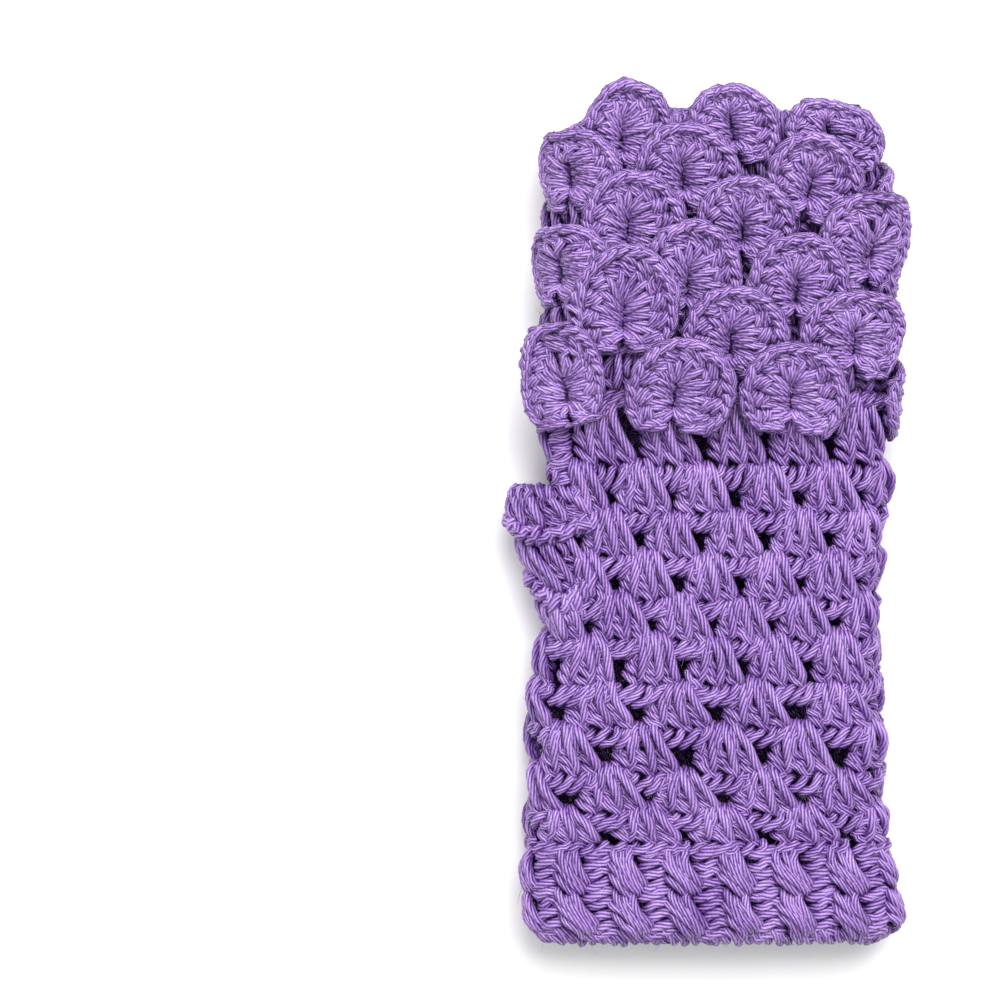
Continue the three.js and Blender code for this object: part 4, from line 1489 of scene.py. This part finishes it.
@dataclass
class ThumbCuff:
    """The short cuff that the thumb comes out of, which bulges from the side of the palm.

    rounds holds base, top, lean and sag of each round of posts; foot holds base, top and lean of the last.
    """

    form: TubeForm
    finish: bpy.types.Material
    first_turn: float = -0.298
    last_turn: float = -0.170
    start: float = 73.6
    end: float = 102.7
    bulge: float = 8.1
    bulge_lift: float = 1.6
    full_at: float = 0.85
    posts: int = 8
    post_width: float = 1.12
    post_lift: float = -1.5
    rounds: tuple[tuple[float, float, float, float], ...] = (
        (102.4, 96.2, 1.2, 4.2), (95.2, 83.2, 2.0, 6.8),
    )
    foot: tuple[float, float, float] = (82.2, 71.0, 0.8)
    sag_middle: float = 0.70
    sag_width: float = 0.26
    chain_lift: float = 0.1
    braid_radius: float = 1.3
    wraps: tuple[float, ...] = (0.48, 0.62, 0.76)
    rim_stitches: int = 7
    rim_depth: float = 3.4
    rim_lean: float = 0.4
    rim_lifts: tuple[float, float] = (-1.0, -2.4)
    opening_start: float = 1.5
    opening_end: float = 120.0
    opening_stitches: int = 6
    opening_rise: float = 0.6
    opening_lift: float = -1.3
    opening_jitter: float = 0.24
    strip_turn: float = -0.195
    strip_reach: float = 5.4
    strip_pitch: float = 3.1
    shade: float = 0.08
    hairs: float = 0.010

    def map_flat(self, across: np.ndarray, along: np.ndarray, height: np.ndarray) -> Placed:
        """Wraps the flat pattern round the tube and bulges it out.

        Args:
            across: distance round the tube from the middle of the back.
            along: place along the glove.
            height: distance out of the tube.

        Returns:
            The points, and the directions out of the tube.
        """
        turn = across / self.form.perimeter(along)
        points, outs = self.form.place(turn, along, height)
        share = np.clip((turn - self.first_turn) / (self.last_turn - self.first_turn), 0, 1)
        rise = np.clip((along - self.start) / ((self.end - self.start) * self.full_at), 0, 1)
        out = np.sin(math.pi * share) * rise * rise * (3 - 2 * rise)
        moved = np.stack([-self.bulge * out, np.zeros_like(out), self.bulge_lift * out * share], axis=-1)
        return points + moved, outs

    def _posts(
        self, turns: np.ndarray, span: tuple[np.ndarray, np.ndarray | float], pitch: float, lean: float,
        mesh: YarnMesh, rng: np.random.Generator,
    ) -> None:
        """Works the legs and wraps of a round of posts.

        Args:
            turns: share of the way round of each post's middle.
            span: where the posts start and end along the glove.
            pitch: width of a post.
            lean: how far each post leans to the right.
            mesh: the mesh that takes the strands.
            rng: source of the small unevenness of hand work.
        """
        posts = post_round(self.form, turns, *span, pitch, lean, self.post_lift)
        posts.work(mesh, tall_stitch(self.wraps)[:-len(chain_top())], self.map_flat, rng)

    def _opening_edge(self, mesh: YarnMesh, rng: np.random.Generator) -> None:
        """Works short stitches along the far side of the thumb opening.

        Args:
            mesh: the mesh that takes the strands.
            rng: source of the small unevenness of hand work.
        """
        steps = np.linspace(self.end + self.opening_start, self.opening_end, self.opening_stitches)
        perimeter = self.form.perimeter(steps)
        base = np.stack([self.strip_turn * perimeter - self.strip_reach, steps], axis=1)
        top = np.stack([self.strip_turn * perimeter, steps + self.opening_rise], axis=1)
        side = np.array([[0.0, self.strip_pitch]]).repeat(len(steps), 0)
        lift = np.full(len(steps), self.opening_lift)
        edge = StitchSet(base, top, side, side, lift, jitter=self.opening_jitter)
        edge.work(mesh, edge_loop(), self.form.wrap, rng)

    def build(self, rng: np.random.Generator) -> None:
        """Works the rounds of posts, the rim and the opening's edge, and writes them as one piece.

        Args:
            rng: source of the small unevenness of hand work.
        """
        mesh = YarnMesh(shade=self.shade)
        form = self.form
        span = self.last_turn - self.first_turn
        turns = self.first_turn + span * (np.arange(self.posts) + 0.5) / self.posts
        share = (turns - self.first_turn) / span
        curve = np.exp(-(((share - self.sag_middle) / self.sag_width) ** 2))
        last_sag = 0.0
        for base_y, top_y, lean, sag in self.rounds:
            pitch = form.pitch(top_y, 1) * span / self.posts * self.post_width
            high = base_y - last_sag * curve
            low = top_y - sag * curve
            last_sag = sag
            self._posts(turns, (high, low), pitch, lean, mesh, rng)
            chain = post_round(form, turns, high, low, pitch, lean, self.chain_lift)
            chain.yarn_radius = self.braid_radius
            chain.work(mesh, chain_top(), self.map_flat, rng)
        base_y, top_y, lean = self.foot
        pitch = form.pitch(top_y, 1) * span / self.posts
        self._posts(turns, (base_y - last_sag * curve, top_y), pitch, lean, mesh, rng)
        turns = self.first_turn + span * (np.arange(self.rim_stitches) + 0.5) / self.rim_stitches
        pitch = form.pitch(self.end, 1) * span / self.rim_stitches
        for lift in self.rim_lifts:
            rim = post_round(form, turns, self.end - self.rim_depth, self.end, pitch, self.rim_lean, lift)
            rim.work(mesh, edge_loop(), self.map_flat, rng)
        self._opening_edge(mesh, rng)
        mesh.add_hairs(self.hairs, rng)
        mesh.write("thumb_stitches", self.finish, ("thumb_cuff",))


@dataclass
class FingerTube:
    """The plain tube under the scales, with a worked edge where the fingers come out."""

    form: TubeForm
    finish: bpy.types.Material
    start_gap: float = 0.2
    end_gap: float = 0.6
    heights: tuple[float, float] = (-0.9, -2.3)
    grid: tuple[int, int] = (96, 36)
    draw_in: float = 3.0
    draw_sides: float = 5.0
    draw_length: float = 26.0
    draw_past: float = 1.1
    end_posts: int = 30
    end_post_span: tuple[float, float] = (-9.0, -0.8)
    end_post_lean: float = -0.5
    end_post_lift: float = -0.9
    end_post_wraps: tuple[float, ...] = (0.52, 0.68)
    row_posts: int = 38
    row_post_span: tuple[float, float] = (10.4, -0.8)
    row_post_lift: float = -0.7
    row_post_wraps: tuple[float, ...] = (0.68,)
    edge_loops: int = 40
    edge_span: tuple[float, float] = (-3.4, 0.2)
    edge_lean: float = 0.4
    edge_lifts: tuple[float, float] = (-0.6, -2.0)
    sides: int = 6
    shade: float = 0.15

    @property
    def end(self) -> float:
        """Where the tube ends along the glove."""
        return self.form.starts[Stretch.FINGERS] + self.form.lengths[Stretch.FINGERS] - self.end_gap

    def rounded(self, turn: np.ndarray, y: np.ndarray, height: np.ndarray) -> Placed:
        """Puts points on the tube, with its finger end drawn in towards its two sides.

        Args:
            turn: share of the way round from the middle of the back.
            y: place along the glove.
            height: distance out of the tube.

        Returns:
            The points, and the directions out of the tube.
        """
        sideways = 1 - np.abs(1 - 4 * np.abs(turn - np.round(turn)))
        near_end = np.clip((y - self.end + self.draw_length) / self.draw_length, 0, self.draw_past)
        drawn = (self.draw_in + self.draw_sides * sideways ** 3) * near_end ** 2
        return self.form.place(turn, y - drawn, height)

    def map_flat(self, across: np.ndarray, along: np.ndarray, height: np.ndarray) -> Placed:
        """Wraps the flat pattern round the tube."""
        return self.rounded(across / self.form.perimeter(along), along, height)

    def build(self, rng: np.random.Generator) -> None:
        """Makes the tube's sheet, its rounds and its edge, and writes them as one piece.

        Args:
            rng: source of the small unevenness of hand work.
        """
        form, end = self.form, self.end
        start = form.starts[Stretch.FINGERS] + self.start_gap
        mesh = Sheet(form, self.rounded).tube(start, end, self.heights, self.grid)
        mesh.sides = self.sides
        mesh.shade = self.shade
        low, high = (end + step for step in self.end_post_span)
        pitch = form.pitch(end, self.end_posts)
        posts = post_round(
            form, even_turns(self.end_posts), low, high, pitch, self.end_post_lean, self.end_post_lift
        )
        posts.work(mesh, tall_stitch(self.end_post_wraps), self.map_flat, rng)
        for row in SCALE_ROWS:
            along = form.row_along(row)
            turns = row.turn + (np.arange(self.row_posts) + 0.5) / self.row_posts
            low, high = (along + step for step in self.row_post_span)
            pitch = form.pitch(along, self.row_posts)
            posts = post_round(form, turns, low, high, pitch, 0.0, self.row_post_lift)
            posts.work(mesh, tall_stitch(self.row_post_wraps), self.map_flat, rng)
        low, high = (end + step for step in self.edge_span)
        turns, pitch = even_turns(self.edge_loops), form.pitch(end, self.edge_loops)
        for lift in self.edge_lifts:
            edge = post_round(form, turns, low, high, pitch, self.edge_lean, lift)
            edge.work(mesh, edge_loop(), self.map_flat, rng)
        mesh.write("finger_tube_stitches", self.finish, ("finger_tube",))


@dataclass(frozen=True)
class YarnFinish:
    """The look of the yarn: its own colour, the colour that its painted shade mixes towards, its plies and
    fibres.
    """

    name: str
    light: tuple[float, float, float]
    painted_shade: tuple[float, float, float]
    plies: float = 7.0
    fibre_scale: float = 26.0
    groove_shade_strength: float = 0.72
    fibre_strength: float = 0.40
    painted_shade_strength: float = 1.05
    bump: float = 0.85
    bump_height: float = 0.0004
    roughness: float = 0.36
    specular: float = 0.62
    sheen: float = 0.12
    sheen_roughness: float = 0.45
    sheen_tint: tuple[float, float, float] = (0.80, 0.70, 1.0)

    def build(self, ply_tree: bpy.types.NodeTree, tone_tree: bpy.types.NodeTree) -> bpy.types.Material:
        """Makes the material.

        Args:
            ply_tree: the shared group that draws the plies.
            tone_tree: the shared group that mixes the colour.

        Returns:
            The finished material.
        """
        material = bpy.data.materials.new(self.name)
        material.use_nodes = True
        nodes, links = material.node_tree.nodes, material.node_tree.links
        shader = nodes["Principled BSDF"]
        plies = nodes.new("ShaderNodeGroup")
        plies.node_tree = ply_tree
        plies.inputs["Plies"].default_value = self.plies
        plies.inputs["Fibre Scale"].default_value = self.fibre_scale
        tone = nodes.new("ShaderNodeGroup")
        tone.node_tree = tone_tree
        tone.inputs["Light"].default_value = (*self.light, 1.0)
        tone.inputs["Shade Colour"].default_value = (*self.painted_shade, 1.0)
        tone.inputs["Groove Shade Strength"].default_value = self.groove_shade_strength
        tone.inputs["Fibre Strength"].default_value = self.fibre_strength
        tone.inputs["Painted Shade Strength"].default_value = self.painted_shade_strength
        # The grooves between plies darken the colour as painted shade, and also drive the bump
        links.new(plies.outputs["Groove"], tone.inputs["Groove"])
        links.new(plies.outputs["Fibre"], tone.inputs["Fibre"])
        links.new(tone.outputs["Color"], shader.inputs["Base Color"])
        bump = nodes.new("ShaderNodeBump")
        bump.inputs["Strength"].default_value = self.bump
        bump.inputs["Distance"].default_value = self.bump_height
        links.new(plies.outputs["Height"], bump.inputs["Height"])
        links.new(bump.outputs["Normal"], shader.inputs["Normal"])
        shader.inputs["Roughness"].default_value = self.roughness
        shader.inputs["Specular IOR Level"].default_value = self.specular
        shader.inputs["Sheen Weight"].default_value = self.sheen
        shader.inputs["Sheen Roughness"].default_value = self.sheen_roughness
        shader.inputs["Sheen Tint"].default_value = (*self.sheen_tint, 1.0)
        return material


def math_node(
    tree: bpy.types.NodeTree, operation: str, first: bpy.types.NodeSocket | float,
    second: bpy.types.NodeSocket | float = 0.0,
) -> bpy.types.NodeSocket:
    """Adds one step of arithmetic to a shader tree.

    Args:
        tree: the tree that takes it.
        operation: Blender's name for the step.
        first: a socket or a number.
        second: a socket or a number.

    Returns:
        The socket that holds the result.
    """
    node = tree.nodes.new("ShaderNodeMath")
    node.operation = operation
    for socket, value in zip(node.inputs, (first, second)):
        if isinstance(value, bpy.types.NodeSocket):
            tree.links.new(value, socket)
        else:
            socket.default_value = value
    return node.outputs[0]


@dataclass(frozen=True)
class PlyGroup:
    """The shared shader group that draws twisted plies and fine fibres from the yarn's coordinates."""

    groove_sharpness: float = 2.1
    fibre_stretch: float = 0.45
    fibre_detail: float = 3.0
    fibre_height: float = 0.35

    def build(self) -> bpy.types.NodeTree:
        """Makes the group.

        Returns:
            A group that gives the groove between plies, the fine fibres, and a height of both.
        """
        tree = bpy.data.node_groups.new("yarn_plies", "ShaderNodeTree")
        for name in ("Plies", "Fibre Scale"):
            tree.interface.new_socket(name, in_out="INPUT", socket_type="NodeSocketFloat")
        for name in ("Groove", "Fibre", "Height"):
            tree.interface.new_socket(name, in_out="OUTPUT", socket_type="NodeSocketFloat")
        given = tree.nodes.new("NodeGroupInput").outputs
        result = tree.nodes.new("NodeGroupOutput").inputs
        coordinates = tree.nodes.new("ShaderNodeUVMap")
        coordinates.uv_map = "Yarn"
        split = tree.nodes.new("ShaderNodeSeparateXYZ")
        tree.links.new(coordinates.outputs["UV"], split.inputs[0])
        share = math_node(tree, "FRACT", math_node(tree, "MULTIPLY", split.outputs["X"], given["Plies"]))
        wave = math_node(tree, "MULTIPLY", math_node(tree, "SUBTRACT", share, 0.5), 2.0)
        groove = math_node(tree, "SUBTRACT", 1.0, math_node(tree, "ABSOLUTE", wave))
        groove = math_node(tree, "POWER", groove, self.groove_sharpness)
        drawn = tree.nodes.new("ShaderNodeCombineXYZ")
        around = math_node(tree, "MULTIPLY", split.outputs["X"], given["Fibre Scale"])
        along = math_node(tree, "MULTIPLY", split.outputs["Y"], self.fibre_stretch)
        tree.links.new(around, drawn.inputs["X"])
        tree.links.new(along, drawn.inputs["Y"])
        fibres = tree.nodes.new("ShaderNodeTexNoise")
        fibres.inputs["Scale"].default_value = 1.0
        fibres.inputs["Detail"].default_value = self.fibre_detail
        tree.links.new(drawn.outputs[0], fibres.inputs["Vector"])
        fibre = fibres.outputs["Fac"]
        height = math_node(tree, "SUBTRACT", math_node(tree, "MULTIPLY", fibre, self.fibre_height), groove)
        tree.links.new(groove, result["Groove"])
        tree.links.new(fibre, result["Fibre"])
        tree.links.new(height, result["Height"])
        return tree


@dataclass(frozen=True)
class ToneGroup:
    """The shared shader group for the yarn's colour, with painted shade in the grooves between plies and down
    between stitches.
    """

    drift_scale: float = 75.0
    drift_detail: float = 2.0
    drift_strength: float = 0.55

    def build(self) -> bpy.types.NodeTree:
        """Makes the group.

        Returns:
            A group that gives the colour, which drifts a little over the glove.
        """
        tree = bpy.data.node_groups.new("yarn_tone", "ShaderNodeTree")
        for name in ("Light", "Shade Colour"):
            tree.interface.new_socket(name, in_out="INPUT", socket_type="NodeSocketColor")
        for name in ("Groove Shade Strength", "Fibre Strength", "Painted Shade Strength", "Groove", "Fibre"):
            tree.interface.new_socket(name, in_out="INPUT", socket_type="NodeSocketFloat")
        tree.interface.new_socket("Color", in_out="OUTPUT", socket_type="NodeSocketColor")
        given = tree.nodes.new("NodeGroupInput").outputs
        result = tree.nodes.new("NodeGroupOutput").inputs
        place = tree.nodes.new("ShaderNodeTexCoord")
        drift = tree.nodes.new("ShaderNodeTexNoise")
        drift.inputs["Scale"].default_value = self.drift_scale
        drift.inputs["Detail"].default_value = self.drift_detail
        tree.links.new(place.outputs["Object"], drift.inputs["Vector"])
        # The painted shade that each mesh carries, down between stitches and on the sides of strands
        sunk = tree.nodes.new("ShaderNodeAttribute")
        sunk.attribute_name = "Depth"
        # Painted shade in the grooves between plies
        groove_shade = math_node(tree, "MULTIPLY", given["Groove"], given["Groove Shade Strength"])
        fibre = math_node(tree, "SUBTRACT", given["Fibre"], 0.5)
        fibre = math_node(tree, "MULTIPLY", fibre, given["Fibre Strength"])
        cloudy = math_node(tree, "SUBTRACT", drift.outputs["Fac"], 0.5)
        cloudy = math_node(tree, "MULTIPLY", cloudy, self.drift_strength)
        shade = math_node(tree, "MULTIPLY", sunk.outputs["Fac"], given["Painted Shade Strength"])
        # Painted shade and random tone from fibres and drift mix the yarn's colour towards the shade colour
        total = math_node(tree, "ADD", math_node(tree, "SUBTRACT", groove_shade, fibre), cloudy)
        total = math_node(tree, "ADD", total, shade)
        mix = tree.nodes.new("ShaderNodeMix")
        mix.data_type = "RGBA"
        mix.clamp_factor = True
        tree.links.new(total, mix.inputs["Factor"])
        tree.links.new(given["Light"], mix.inputs["A"])
        tree.links.new(given["Shade Colour"], mix.inputs["B"])
        tree.links.new(mix.outputs["Result"], result["Color"])
        return tree


@dataclass(frozen=True)
class Lamp:
    """A square soft light: its place and size in metres, and its power."""

    name: str
    place: tuple[float, float, float]
    size: float
    power: float

    def build(self) -> None:
        """Adds the light, facing the glove."""
        data = bpy.data.lights.new(self.name, "AREA")
        data.size = self.size
        data.energy = self.power
        lamp = bpy.data.objects.new(self.name, data)
        lamp.location = self.place
        x, y, z = (-part for part in self.place)
        lamp.rotation_euler = (math.atan2(math.hypot(x, y), -z), 0.0, math.atan2(y, x) - math.pi / 2)
        bpy.context.scene.collection.objects.link(lamp)


@dataclass(frozen=True)
class Studio:
    """The pale floor, the soft light and the camera straight above, in metres."""

    floor_size: float = 4.0
    floor_colour: tuple[float, float, float] = (0.90, 0.89, 0.88)
    floor_roughness: float = 0.9
    room_colour: tuple[float, float, float] = (0.95, 0.97, 1.0)
    room_strength: float = 0.56
    lamps: tuple[Lamp, ...] = (
        Lamp("key", (0.22, 0.75, 1.05), 1.0, 25.0),
        Lamp("fill", (-0.6, -0.3, 1.0), 0.9, 4.0),
    )
    camera_height: float = 0.615
    view_width: float = 0.225
    focus_height: float = 0.015
    sensor: float = 36.0

    def _floor(self) -> None:
        """Adds the floor under the glove."""
        half = self.floor_size / 2
        corners = [(-half, -half, 0), (half, -half, 0), (half, half, 0), (-half, half, 0)]
        mesh = bpy.data.meshes.new("floor")
        mesh.from_pydata(corners, [], [(0, 1, 2, 3)])
        floor = bpy.data.objects.new("floor", mesh)
        bpy.context.scene.collection.objects.link(floor)
        paper = bpy.data.materials.new("pale_floor")
        paper.use_nodes = True
        shader = paper.node_tree.nodes["Principled BSDF"]
        shader.inputs["Base Color"].default_value = (*self.floor_colour, 1.0)
        shader.inputs["Roughness"].default_value = self.floor_roughness
        mesh.materials.append(paper)

    def build(self, aim: tuple[float, float]) -> None:
        """Sets up the floor, lights and camera.

        Args:
            aim: where the middle of the picture lies, in metres.
        """
        scene = bpy.context.scene
        scene.view_settings.view_transform = "Standard"
        self._floor()
        world = bpy.data.worlds.new("soft_room")
        world.use_nodes = True
        room = world.node_tree.nodes["Background"]
        room.inputs["Color"].default_value = (*self.room_colour, 1.0)
        room.inputs["Strength"].default_value = self.room_strength
        scene.world = world
        for lamp in self.lamps:
            lamp.build()
        camera_data = bpy.data.cameras.new("camera")
        camera_data.sensor_width = self.sensor
        camera_data.lens = self.sensor * (self.camera_height - self.focus_height) / self.view_width
        camera = bpy.data.objects.new("camera", camera_data)
        camera.location = (aim[0], aim[1], self.camera_height)
        scene.collection.objects.link(camera)
        scene.camera = camera


def main() -> None:
    """Builds the glove in order, and reports each piece."""
    logging.basicConfig(level=logging.INFO, format="%(message)s")
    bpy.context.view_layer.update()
    rng = np.random.default_rng(SEED)
    form = TubeForm(GloveSizes())
    # The yarn's own colour, and the colour of its painted shade
    lavender = YarnFinish("lavender_yarn", light=(0.475, 0.282, 0.70), painted_shade=(0.068, 0.003, 0.180))
    yarn = lavender.build(PlyGroup().build(), ToneGroup().build())
    Studio().build(tuple((np.array(PICTURE_MIDDLE) + form.shift) * MM))
    WristCuff(form, yarn).build(rng)
    HandFabric(form, yarn).build(rng)
    ThumbCuff(form, yarn).build(rng)
    FingerTube(form, yarn).build(rng)
    ScaleField(form, yarn).build(rng)


if __name__ == "__main__":
    main()
